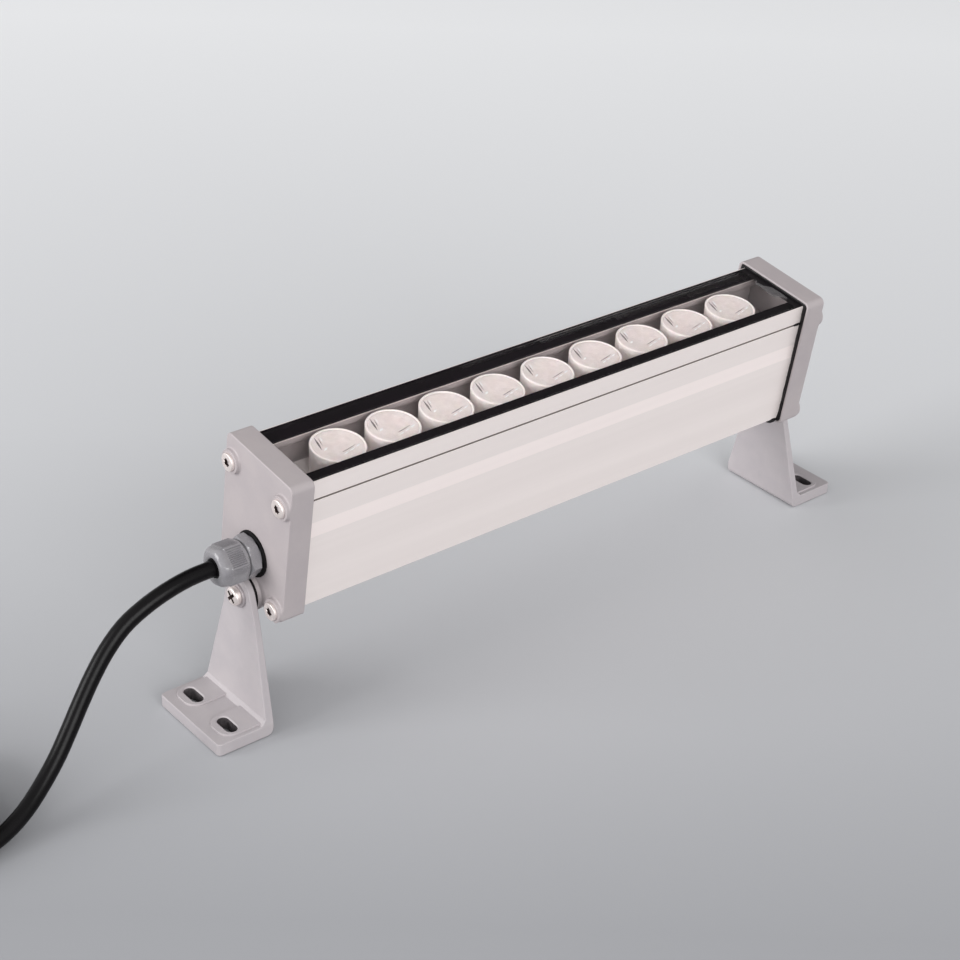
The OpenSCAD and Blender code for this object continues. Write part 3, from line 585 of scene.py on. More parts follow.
@dataclass(frozen=True)
class Finish:
    """What a surface is made of and how it was made."""

    name: str
    colour: str
    roughness: float
    metallic: float = 0.0
    # A second shade that the first drifts to in soft patches
    drift_colour: str = ""
    drift_mm: float = 18.0
    # Fine relief: its spacing and its depth
    relief_mm: float = 0.0
    relief_depth_mm: float = 0.0
    grain: Grain = Grain.EVEN
    # How far the roughness strays either way
    rough_spread: float = 0.0
    coat: float = 0.0
    coat_roughness: float = 0.1
    ior: float = 1.5
    specular: float = 0.5
    subsurface: float = 0.0
    alpha: float = 1.0

    def material(self) -> bpy.types.Material:
        """Makes the material, once, and returns it."""
        made = bpy.data.materials.get(self.name)
        if made is None:
            made = bpy.data.materials.new(self.name)
            made.use_nodes = True
            made.diffuse_color = linear(self.colour)
            made.node_tree.nodes.clear()
            shader = self.surface(made.node_tree)
            add_node(made.node_tree, "ShaderNodeOutputMaterial", links={"Surface": shader})
        return made

    def surface(self, tree: bpy.types.NodeTree) -> bpy.types.NodeSocket:
        """Builds the shader.

        Args:
            tree: the material's node tree.

        Returns:
            The shader's output.
        """
        place = add_node(tree, "ShaderNodeTexCoord").outputs["Object"]
        links: dict = {}
        if self.drift_colour:
            links["Base Color"] = self.drift(tree, place)
        if self.relief_mm:
            relief = self.speckle(tree, place, self.relief_mm, 3.0, 0.55)
            links["Normal"] = add_node(
                tree,
                "ShaderNodeBump",
                {"Strength": 1.0, "Distance": self.relief_depth_mm * MM},
                {"Height": relief},
            ).outputs["Normal"]
            if self.rough_spread:
                links["Roughness"] = add_node(
                    tree,
                    "ShaderNodeMapRange",
                    {
                        "From Min": NOISE_LOW,
                        "From Max": NOISE_HIGH,
                        "To Min": self.roughness - self.rough_spread,
                        "To Max": self.roughness + self.rough_spread,
                    },
                    {"Value": relief},
                ).outputs["Result"]
        settings = {
            "Base Color": linear(self.colour),
            "Roughness": self.roughness,
            "Metallic": self.metallic,
            "Coat Weight": self.coat,
            "Coat Roughness": self.coat_roughness,
            "IOR": self.ior,
            "Specular IOR Level": self.specular,
            "Alpha": self.alpha,
        }
        if self.subsurface:
            settings["Subsurface Weight"] = self.subsurface
            settings["Subsurface Scale"] = WAX_DEPTH * MM
        return add_node(tree, "ShaderNodeBsdfPrincipled", settings, links).outputs["BSDF"]

    def speckle(
        self,
        tree: bpy.types.NodeTree,
        place: bpy.types.NodeSocket,
        spacing_mm: float,
        detail: float,
        roughness: float,
    ) -> bpy.types.NodeSocket:
        """Noise that runs with the surface's grain.

        Args:
            tree: the material's node tree.
            place: the place on the surface.
            spacing_mm: its spacing.
            detail: how many finer layers it has.
            roughness: how strong those are.

        Returns:
            The noise, from 0 to 1.
        """
        run = add_node(tree, "ShaderNodeMapping", {"Scale": self.grain.value}, {"Vector": place})
        settings = {"Scale": 1 / (spacing_mm * MM), "Detail": detail, "Roughness": roughness}
        grain = add_node(tree, "ShaderNodeTexNoise", settings, {"Vector": run.outputs["Vector"]})
        return grain.outputs["Fac"]

    def drift(self, tree: bpy.types.NodeTree, place: bpy.types.NodeSocket) -> bpy.types.NodeSocket:
        """Slow drift between the two shades, as a colour.

        Args:
            tree: the material's node tree.
            place: the place on the surface.

        Returns:
            The colour's output.
        """
        patches = self.speckle(tree, place, self.drift_mm, 4.0, 0.6)
        ramp = add_node(tree, "ShaderNodeValToRGB", links={"Fac": patches})
        shades = ((DRIFT_LOW, self.colour), (DRIFT_HIGH, self.drift_colour))
        for stop, (position, colour) in zip(ramp.color_ramp.elements, shades):
            stop.position = position
            stop.color = linear(colour)
        return ramp.outputs["Color"]


@dataclass(frozen=True)
class ClearFinish(Finish):
    """Glass that lets the lamps' light through to what is behind it."""

    def surface(self, tree: bpy.types.NodeTree) -> bpy.types.NodeSocket:
        """Builds the shader, which is open to shadow rays.

        Args:
            tree: the material's node tree.

        Returns:
            The shader's output.
        """
        clear = add_node(
            tree,
            "ShaderNodeBsdfPrincipled",
            {
                "Base Color": linear(self.colour),
                "Roughness": self.roughness,
                "IOR": self.ior,
                "Transmission Weight": 1.0,
            },
        )
        light = add_node(tree, "ShaderNodeBsdfTransparent", {"Color": linear(self.colour)})
        path = add_node(tree, "ShaderNodeLightPath")
        mix = add_node(
            tree,
            "ShaderNodeMixShader",
            links={
                "Fac": path.outputs["Is Shadow Ray"],
                1: clear.outputs["BSDF"],
                2: light.outputs["BSDF"],
            },
        )
        return mix.outputs["Shader"]


# Satin anodised aluminium, extruded: pale and silky, with faint lines along the die's run
EXTRUSION = Finish(
    "anodised_aluminium_extruded", "#f2e9e6", 0.42, 0.3, "#eee5e2", 9.0, 0.5, 0.003, Grain.LENGTHWISE, 0.04
)
# The facet along the waist, a little brighter: a painted highlight for the brighter floor that the facet
# mirrors
WAIST_PAINTED_HIGHLIGHT = Finish(
    "anodised_aluminium_burnished", "#fdf2ef", 0.36, 0.3, "#f9eeeb", 9.0, 0.5, 0.003, Grain.LENGTHWISE, 0.03
)
# The inner walls of the channel and the chamber: duller, and darker as painted shade where little light
# reaches
INNER_WALL_PAINTED_SHADE = Finish(
    "anodised_aluminium_inner_painted_shade", "#b9b0b0", 0.55, 0.2, "#aea5a5", 12.0, 0.5, 0.004, Grain.LENGTHWISE, 0.04
)
# The groove's walls: dull brown grey, darkened as painted shade in the groove
GROOVE_PAINTED_SHADE = Finish(
    "anodised_aluminium_groove_painted_shade", "#9d948f", 0.65, 0.2, "#8f8681", 6.0, 0.5, 0.004, Grain.LENGTHWISE, 0.04
)
# Polyester powder coat on die-cast aluminium: an even satin grey with a faint orange peel
CAP_COAT = Finish("powder_coat_cap", "#ada5a6", 0.5, 0.0, "#a8a0a2", 14.0, 0.9, 0.010, rough_spread=0.03)
BRACKET_COAT = Finish(
    "powder_coat_bracket", "#b1abad", 0.46, 0.0, "#aba5a8", 14.0, 0.9, 0.010, rough_spread=0.03
)
# The slots' walls: dark grey, painted shade inside the slots
SLOT_PAINTED_SHADE = Finish("powder_coat_slot_painted_shade", "#5a5557", 0.8, 0.0, "#3a3638", 3.0, 0.8, 0.01, specular=0.2)
# Neutral-cure silicone, tooled by hand: deep black with a soft shine
SILICONE = Finish(
    "silicone_sealant", "#0b080b", 0.4, 0.0, "#110e11", 6.0, 1.4, 0.05, rough_spread=0.06, specular=0.3
)
# The same sealant wiped thin over the glass: a grey haze
SILICONE_SMEAR = Finish(
    "silicone_smear",
    "#7f7d7e",
    0.5,
    0.0,
    "#676466",
    2.2,
    0.7,
    0.02,
    rough_spread=0.08,
    specular=0.2,
    alpha=0.34,
)
# Black silicone tape pressed flat under the glass
SEAL_TAPE = Finish("silicone_seal_tape", "#0e070d", 0.6, 0.0, "#130b12", 20.0, 1.0, 0.004, specular=0.06)
# Low-iron toughened float glass: clear, flat and mirror smooth
FLOAT_GLASS = ClearFinish("toughened_float_glass", "#fffefe", 0.0, ior=1.5)
# PMMA lens, injection moulded, its cone full of the white cup's light: milky under a glossy skin
PMMA = Finish(
    "pmma_lens", "#f2e7e4", 0.2, 0.0, "#e7dbd8", 3.0, coat=0.6, coat_roughness=0.05, ior=1.49, subsurface=0.15
)
# Painted reflections on the lens's face, for its square foot seen through it: dark streaks, and white glints
LENS_PAINTED_DARK_STREAK = Finish("pmma_painted_dark_streak", "#6b605e", 0.2, 0.0, "#8d8284", 1.5, 0.3, 0.004)
LENS_PAINTED_GLINT = Finish("pmma_painted_glint", "#ffffff", 0.12, 0.0, "#fbfafa", 1.5, 0.3, 0.004, coat=0.5)
# White polycarbonate lens cup, moulded: bright, slightly waxy
CUP_PLASTIC = Finish("polycarbonate_cup", "#fdf3f0", 0.32, 0.0, "#f8eeeb", 8.0, 0.6, 0.004, subsurface=0.08)
# Polyamide gland, moulded: satin grey with a fine spark-eroded skin
GLAND_NYLON = Finish(
    "polyamide_gland", "#878588", 0.26, 0.0, "#7f7d81", 5.0, 0.35, 0.003, rough_spread=0.04, coat=0.3
)
# EPDM rubber: dead black and matt
RUBBER = Finish("epdm_rubber", "#060506", 0.6, 0.0, "#0a080a", 5.0, 0.5, 0.008, specular=0.15)
# A2 stainless steel, cold headed and tumbled: bright with fine random scuffs
STAINLESS = Finish("stainless_steel", "#f3e9e6", 0.42, 0.75, "#e8deda", 2.5, 0.4, 0.003, rough_spread=0.06)
# Zinc-plated steel washer, dulled by the weather: flat grey
ZINC = Finish("zinc_plated_washer", "#b0a9ab", 0.5, 0.5, "#a59ea1", 3.0, 0.5, 0.004, rough_spread=0.05)
# The walls and floor of a socket or a cross recess: dark brown, painted shade in the recess
RECESS_PAINTED_SHADE = Finish("stainless_steel_recess_painted_shade", "#2a1d1b", 0.6, 0.2, "#362725", 1.0, 0.4, 0.004, specular=0.3)
# PVC cable jacket, extruded over its cores: black, satin, with a faint lengthwise drag
JACKET = Finish(
    "pvc_cable_jacket", "#050405", 0.3, 0.0, "#090709", 10.0, 0.9, 0.01, rough_spread=0.04, specular=0.16
)
# Coloured PVC core insulation, extruded thin and glossy
CORE_BLUE = Finish("pvc_core_blue", "#2f62ad", 0.35, 0.0, "#2a5aa2", 4.0, 0.5, 0.004)
CORE_YELLOW = Finish("pvc_core_green_yellow", "#c7c22c", 0.35, 0.0, "#3f8f3c", 3.0, 0.5, 0.004)
CORE_BROWN = Finish("pvc_core_brown", "#6a4129", 0.35, 0.0, "#60391f", 4.0, 0.5, 0.004)
# Natural polyamide cable tie: milky and a little glossy
TIE_NYLON = Finish("polyamide_tie", "#e9e7e2", 0.38, 0.0, "#e2e0da", 3.0, 0.5, 0.006, subsurface=0.1)
# Tinned copper sleeve: soft white metal
TINNED_COPPER = Finish("tinned_copper", "#c9c9c8", 0.33, 1.0, "#bdbdbc", 1.5, 0.3, 0.003, rough_spread=0.05)
# Solder-masked aluminium-core board: matt white ink
WHITE_BOARD = Finish("white_solder_mask", "#f0e9e7", 0.5, 0.0, "#e9e2e0", 6.0, 0.4, 0.003)
# Silicone heat pad: putty grey and matt
HEAT_PAD = Finish("silicone_heat_pad", "#7d8794", 0.8, 0.0, "#75808d", 4.0, 0.6, 0.01)
# LED phosphor under clear silicone
PHOSPHOR = Finish("led_phosphor", "#e7dfa6", 0.25, 0.0, "#dfd48f", 1.0, 0.2, 0.002, coat=1.0)
# Glass-filled nylon connector, moulded white
CONNECTOR_NYLON = Finish("nylon_connector", "#efeee9", 0.45, 0.0, "#e8e7e1", 3.0, 0.3, 0.003)
# Black ABS driver case, moulded with a fine texture
CASE_ABS = Finish("abs_driver_case", "#3a3c40", 0.55, 0.0, "#36383c", 10.0, 0.5, 0.01, rough_spread=0.04)
# Green epoxy-glass board under solder mask
GREEN_BOARD = Finish("epoxy_glass_board", "#1f5a35", 0.4, 0.0, "#1c5130", 5.0, 0.5, 0.003)
# Varnished windings and sleeved cans of the driver
DRIVER_PARTS = Finish("varnished_driver_parts", "#4a4038", 0.4, 0.0, "#8a6a2a", 12.0, 0.6, 0.01)
# Red PVC crimp sleeve
SPLICE_PVC = Finish("pvc_splice_sleeve", "#b0332f", 0.4, 0.0, "#a62f2b", 3.0, 0.4, 0.004)


# The light's pieces


@dataclass
class HeadSizes:
    """Places in the upright head that several pieces share."""

    pitch: float = 28.0
    count: int = 9
    rim_y: float = 139.7
    pocket_y: float = 146.7
    cap_y: float = 150.7
    end_y: float = 145.5
    low_z: float = 0.0
    top_z: float = 63.4
    cap_low: float = -2.2
    cap_high: float = 66.1
    half_w: float = 19.7
    low_half_w: float = 20.0
    waist_low: float = 34.7
    waist_high: float = 42.4
    port_x: float = 17.9
    port_low_z: float = 2.2
    port_high_z: float = 54.5
    board_z: float = 43.8
    glass_z: float = 60.4
    seal_z: float = 59.4

    def lens_places(self) -> list[float]:
        """Places of the lenses along Y."""
        return [(i - (self.count - 1) / 2) * self.pitch for i in range(self.count)]

    def ports(self) -> list[Pair]:
        """Places of the cap screws, as (x, z)."""
        return [(x, z) for x in (-self.port_x, self.port_x) for z in (self.port_low_z, self.port_high_z)]


@dataclass
class Housing:
    """Extruded body with the glass's seat, the light board's shelf and a chamber below."""

    sizes: HeadSizes
    wall_x: float = 17.9
    lip_x: float = 19.2
    ledge_x: float = 13.0
    ledge_z: float = 58.0
    shelf_top: float = 41.7
    shelf_low: float = 38.7
    floor_z: float = 2.0
    groove_low: float = 53.5
    groove_high: float = 54.3
    groove_in: float = 1.2
    rib_r: float = 2.85
    rib_spans: int = 12
    lip_ease: float = 0.18
    corner_ease: float = 0.7
    waist_ease: float = 1.2
    inner_ease: float = 0.6
    # Heights on the straight sides where one run of roundings ends and the next starts
    corner_end_z: float = 12.0
    waist_start_z: float = 13.0
    waist_end_z: float = 50.0
    lip_start_z: float = 51.0
    # How near a wall's middle lies to the line that names its finish
    slack: float = 0.05
    facet_margin: float = 0.2
    chamber_margin: float = 1.0

    def side(self) -> list[Pair]:
        """Right half of the outside and the upper channel, from the bottom's middle up and in."""
        s = self.sizes
        corner = [(0, s.low_z), (s.low_half_w, s.low_z), (s.low_half_w, s.low_z + self.corner_end_z)]
        outside = eased(corner, self.corner_ease, 4)[:-1]
        waist = [
            (s.low_half_w, s.low_z + self.waist_start_z),
            (s.low_half_w, s.waist_low),
            (s.half_w, s.waist_high),
            (s.half_w, self.waist_end_z),
        ]
        outside += eased(waist, self.waist_ease, 4)
        floor_x = s.half_w - self.groove_in
        outside += eased(
            [
                (s.half_w, self.lip_start_z),
                (s.half_w, self.groove_low),
                (floor_x, self.groove_low),
                (floor_x, self.groove_high),
                (s.half_w, self.groove_high),
                (s.half_w, s.top_z),
                (self.lip_x, s.top_z),
                (self.lip_x, s.seal_z),
                (self.ledge_x, s.seal_z),
                (self.ledge_x, self.ledge_z),
                (self.wall_x, self.ledge_z),
            ],
            self.lip_ease,
            2,
        )
        for k in range(self.rib_spans + 1):
            a = math.radians(90 + 180 * k / self.rib_spans)
            outside.append((s.port_x + self.rib_r * math.cos(a), s.port_high_z + self.rib_r * math.sin(a)))
        channel = [(self.wall_x, self.waist_end_z), (self.wall_x, self.shelf_top), (0, self.shelf_top)]
        return outside + eased(channel, self.inner_ease, 3)

    def shade_at(self, x: float, z: float) -> int:
        """Number of the finish of a wall by its middle, in the upright head."""
        s, near, wide = self.sizes, self.slack, 2 * self.slack
        if self.lip_x - near < abs(x) < self.lip_x + near and z > s.seal_z:
            return 4
        facet_low, facet_high = s.waist_low + 2 * self.facet_margin, s.waist_high + self.facet_margin
        # The waist's facet takes the painted highlight
        if abs(x) > s.half_w - self.facet_margin and facet_low < z < facet_high:
            return 1
        # The inner walls take the painted shade
        if abs(x) < self.wall_x + wide and s.low_z + self.chamber_margin < z < self.ledge_z + wide:
            return 2
        # The groove's walls take the painted shade
        in_groove = abs(x) < s.half_w - near and self.groove_low - wide < z < self.groove_high + wide
        return 3 if in_groove else 0

    def build(self) -> None:
        """Builds and dresses the housing."""
        right = self.side()
        left = [(-x, z) for x, z in right[::-1] if x > 0]
        chamber = rounded_box(
            -self.wall_x, self.wall_x, self.floor_z, self.shelf_low, self.inner_ease, 3
        )
        shell = Shell()
        upright = Shell()
        upright.profile([right + left, chamber[::-1]], -self.sizes.end_y, self.sizes.end_y, ALONG_Y)
        shell.add(upright.points, upright.faces, HEAD)
        for i, face in enumerate(upright.faces):
            if len(face) == 4:
                middle = sum((upright.points[k] for k in face), Vector()) / 4
                shell.shades[i] = self.shade_at(middle.x, middle.z)
        item = loose("housing_extrusion", shell)
        finishes = [EXTRUSION, WAIST_PAINTED_HIGHLIGHT, INNER_WALL_PAINTED_SHADE, GROOVE_PAINTED_SHADE, SEAL_TAPE]
        dress(item, Body.HEAD, finishes, ["housing"], crease=28)


@dataclass
class GlassPane:
    """Clear pane with ground edges, flush with the housing's lips."""

    sizes: HeadSizes
    half_w: float = 18.5
    corner_r: float = 0.3
    arris: float = 0.3

    def build(self) -> None:
        """Builds and dresses the pane."""
        s = self.sizes
        outline = rounded_box(-self.half_w, self.half_w, -s.end_y, s.end_y, self.corner_r, 2)
        shell = Shell()
        shell.slab(outline, edge_levels(s.glass_z, s.top_z, self.arris, self.arris, 1), HEAD)
        dress(loose("glass_pane", shell), Body.HEAD, [FLOAT_GLASS], ["glass"])


@dataclass
class SealTape:
    """Black seal: flat tape under the pane, with an upstand between the pane's edges and the lips."""

    sizes: HeadSizes
    window_x: float = 12.1
    window_y: float = 139.0
    pane_x: float = 18.55
    lip_x: float = 19.17
    sink: float = 0.1
    corner_r: float = 0.1

    def build(self) -> None:
        """Builds and dresses the seal."""
        s = self.sizes
        crest = s.top_z - self.sink
        side = [
            (self.window_x, s.seal_z),
            (self.lip_x, s.seal_z),
            (self.lip_x, crest),
            (self.pane_x, crest),
            (self.pane_x, s.glass_z),
            (self.window_x, s.glass_z),
        ]
        shell = Shell()
        for hand in (1, -1):
            shell.profile([side], -s.end_y, s.end_y, HEAD @ Matrix.Diagonal((hand, 1, 1, 1)) @ ALONG_Y)
        for end in End:
            strip = rounded_box(
                -self.window_x, self.window_x, self.window_y, s.end_y, self.corner_r, 1
            )
            shell.slab(strip, [(s.seal_z, 0), (s.glass_z, 0)], HEAD @ end.place())
        dress(loose("glass_seal_tape", shell), Body.HEAD, [SEAL_TAPE], ["glass_seal"])


@dataclass
class LensRow:
    """White cups and the clear lenses that sit in them."""

    sizes: HeadSizes
    cup_r: float = 11.9
    cup_foot_r: float = 10.9
    cup_h: float = 14.6
    cup_wall: float = 1.0
    cup_ease: float = 0.35
    ledge_r: float = 9.7
    led_room_r: float = 5.2
    floor_t: float = 1.4
    lens_z: float = 12.6
    flange_t: float = 1.8
    flange_gap: float = 0.04
    rim_drop: float = 0.12
    rim_in: float = 0.15
    lens_ease: float = 0.15
    dish_r: float = 9.9
    dish: float = 0.3
    dish_steps: int = 10
    clear: float = 0.3
    cavity_r: float = 2.6
    cavity_h: float = 2.6
    segments: int = 64
    mark_h: float = 0.16
    mark_sink: float = 0.05
    mark_end_share: float = 0.06
    mark_steps: int = 8
    # Painted dark streaks and glints, where the foot shows through the face: their ends, how wide each looks,
    # and its finish
    marks: tuple[tuple[Pair, Pair, float, int], ...] = (
        ((-8.7, -5.7), (-0.7, -7.6), 1.2, 1),
        ((-7.8, -4.4), (-2.8, -5.7), 0.4, 1),
        ((-1.1, -4.6), (0.4, -7.2), 1.3, 2),
        ((-8.5, -3.2), (-4.8, -4.2), 0.7, 2),
        ((6.3, -1.2), (5.3, 1.8), 1.0, 2),
        ((5.3, 2.2), (4.5, 5.2), 1.0, 2),
        ((4.4, 5.7), (3.4, 8.8), 1.0, 2),
        ((4.6, -0.9), (3.0, 6.4), 0.45, 1),
    )

    def cup_line(self) -> list[Pair]:
        """Radius and height round the cup's section, anticlockwise."""
        inner = self.cup_r - self.cup_wall
        corners = [
            (self.led_room_r, 0),
            (self.cup_foot_r, 0),
            (self.cup_r, self.cup_h),
            (inner, self.cup_h),
            (inner, self.lens_z),
            (self.ledge_r, self.lens_z),
            (self.led_room_r, self.floor_t),
        ]
        return eased(corners, self.cup_ease, 3, closed=True)

    def lens_line(self) -> list[Pair]:
        """Radius and height round the lens's section, from its cavity out, up and in over its dish."""
        flange_r = self.cup_r - self.cup_wall - self.flange_gap
        foot_z = self.floor_t + self.clear
        foot_r = self.led_room_r - self.clear
        cone_r = self.ledge_r - self.clear
        lower = eased(
            [
                (AXIS_R, foot_z + self.cavity_h),
                (self.cavity_r, foot_z + self.cavity_h),
                (self.cavity_r, foot_z),
                (foot_r, foot_z),
                (cone_r, self.lens_z),
                (flange_r, self.lens_z),
                (flange_r, self.lens_z + self.flange_t),
            ],
            self.lens_ease,
            2,
        )
        face_z = self.lens_z + self.flange_t
        rim = [(flange_r, face_z - self.rim_drop), (flange_r - self.rim_in, face_z), (self.dish_r, face_z)]
        out = [1 - k / self.dish_steps for k in range(1, self.dish_steps)]
        face = [(self.dish_r * share, face_z - self.dish * (1 - share**2)) for share in out]
        return lower[:-1] + rim + face + [(AXIS_R, face_z - self.dish)]

    def add_mark(
        self, shell: Shell, place: Matrix, start: Pair, end: Pair, width: float, shade: int
    ) -> None:
        """Adds a thin painted mark, a dark streak or a glint, on a lens's face.

        Args:
            shell: the lenses' shell.
            place: carries the lens to its place.
            start, end: the mark's ends.
            width: its width in the middle.
            shade: number of its finish.
        """
        a, b = Vector(start), Vector(end)
        side = Vector((a.y - b.y, b.x - a.x)).normalized() * width / 2
        steps = self.mark_steps
        rings = []
        for k in range(steps + 1):
            spot = a.lerp(b, k / steps)
            reach = side * max(math.sin(math.pi * k / steps), self.mark_end_share)
            drop = self.dish * (1 - min(1.0, spot.length / self.dish_r) ** 2)
            z = self.lens_z + self.flange_t - drop
            low, left, right = z - self.mark_sink, spot + reach, spot - reach
            rings.append([(left.x, left.y, low), (spot.x, spot.y, z + self.mark_h), (right.x, right.y, low)])
        shell.skin(rings, place, shade=shade)

    def build(self) -> None:
        """Builds and dresses the nine cups and their lenses."""
        cups, lenses = Shell(), Shell()
        cup_levels = [(z, r) for r, z in self.cup_line()]
        lens_levels = [(z, r) for r, z in self.lens_line()]
        for y in self.sizes.lens_places():
            place = HEAD @ Matrix.Translation((0, y, self.sizes.board_z))
            cups.turn(cup_levels, place, self.segments, looped=True)
            lenses.turn(lens_levels, place, self.segments)
            for mark in self.marks:
                self.add_mark(lenses, place, *mark)
        dress(loose("lens_cup_row", cups), Body.HEAD, [CUP_PLASTIC], ["lens_cups"])
        dress(loose("lens_row", lenses), Body.HEAD, [PMMA, LENS_PAINTED_DARK_STREAK, LENS_PAINTED_GLINT], ["lenses"])


@dataclass
class EndCap:
    """Die-cast cap with its pocket, tilt boss, lug and four screw seats."""

    sizes: HeadSizes
    end: End
    half_w: float = 23.2
    corner_r: float = 3.0
    rim_wall: float = 1.2
    rim_ease: float = 0.35
    face_ease: float = 0.5
    boss_r: float = 8.0
    boss_t: float = 2.0
    boss_ease: float = 0.3
    seat_r: float = 5.3
    seat_t: float = 1.8
    seat_ease: float = 0.25
    root: float = 1.0
    foot_flare: float = 0.7
    flare_share: float = 0.7
    inside: float = 0.03
    # The tilt boss's lug behind the cap's face: depths below the face and radii
    lug_levels: tuple[Pair, ...] = ((-3.7, 8.2), (-3.4, 8.5), (-0.5, 8.5), (-0.15, 8.35), (0.0, 8.0))

    def outline(self, step: float = 0.0) -> list[Pair]:
        """The cap's outline, drawn in by a step."""
        s = self.sizes
        return rounded_box(
            -self.half_w + step,
            self.half_w - step,
            s.cap_low + step,
            s.cap_high - step,
            self.corner_r - step,
        )

    def kept_inside(self, x: float, z: float) -> Pair:
        """Moves a place that lies outside the cap's outline onto it.

        Args:
            x, z: the place.

        Returns:
            The place, inside the outline.
        """
        s, r = self.sizes, self.corner_r
        core_x = max(-self.half_w + r, min(self.half_w - r, x))
        core_z = max(s.cap_low + r, min(s.cap_high - r, z))
        off = Vector((x - core_x, z - core_z))
        if off.length > r - self.inside:
            off = off.normalized() * (r - self.inside)
        return core_x + off.x, core_z + off.y

    def raised(self, r: float, height: float, ease: float) -> list[Pair]:
        """Levels of a round seat that rises from the cap's face on a small fillet.

        Args:
            r: its radius.
            height: its height above the face.
            ease: rounding of its upper edge.

        Returns:
            Pairs of a height above the face and a radius.
        """
        flare = min(self.foot_flare, height * self.flare_share)
        foot = [(flare * (1 - math.cos(a)), r + flare * (1 - math.sin(a))) for a in quarter(4)]
        return [(-self.root, r + flare)] + foot + rounded_top(height, r, ease, 4)

    def build(self) -> None:
        """Builds and dresses the cap."""
        s = self.sizes
        outer = self.outline()
        pocket = self.outline(self.rim_wall)
        rings = [
            [(x, z, s.pocket_y) for x, z in pocket],
            [(x, z, s.rim_y + self.rim_ease) for x, z in pocket],
            [(x, z, s.rim_y) for x, z in inset(pocket, -self.rim_ease)],
        ]
        for y, draw in edge_levels(s.rim_y, s.cap_y, self.rim_ease, self.face_ease, 4):
            rings.append([(x, z, y) for x, z in inset(outer, draw)])
        place = HEAD @ self.end.place()
        shell = Shell()
        shell.skin(rings, place @ ALONG_Y)
        turned = place @ Matrix.Translation((0, s.cap_y, 0)) @ OUT_FAR
        shell.turn(self.lug_levels, turned, 64)
        shell.turn(self.raised(self.boss_r, self.boss_t, self.boss_ease), turned, 64)
        seat_levels = self.raised(self.seat_r, self.seat_t, self.seat_ease)
        for x, z in s.ports():
            seat = Shell()
            seat.turn(seat_levels, Matrix.Translation((x, s.cap_y, z)) @ OUT_FAR, 64)
            moved = []
            for p in seat.points:
                px, pz = self.kept_inside(p.x, p.z)
                moved.append(Vector((px, p.y, pz)))
            shell.add(moved, seat.faces, place)
        name = f"end_cap_{self.end.word}"
        dress(loose(f"{name}_casting", shell), Body.HEAD, [CAP_COAT], [name], crease=35)


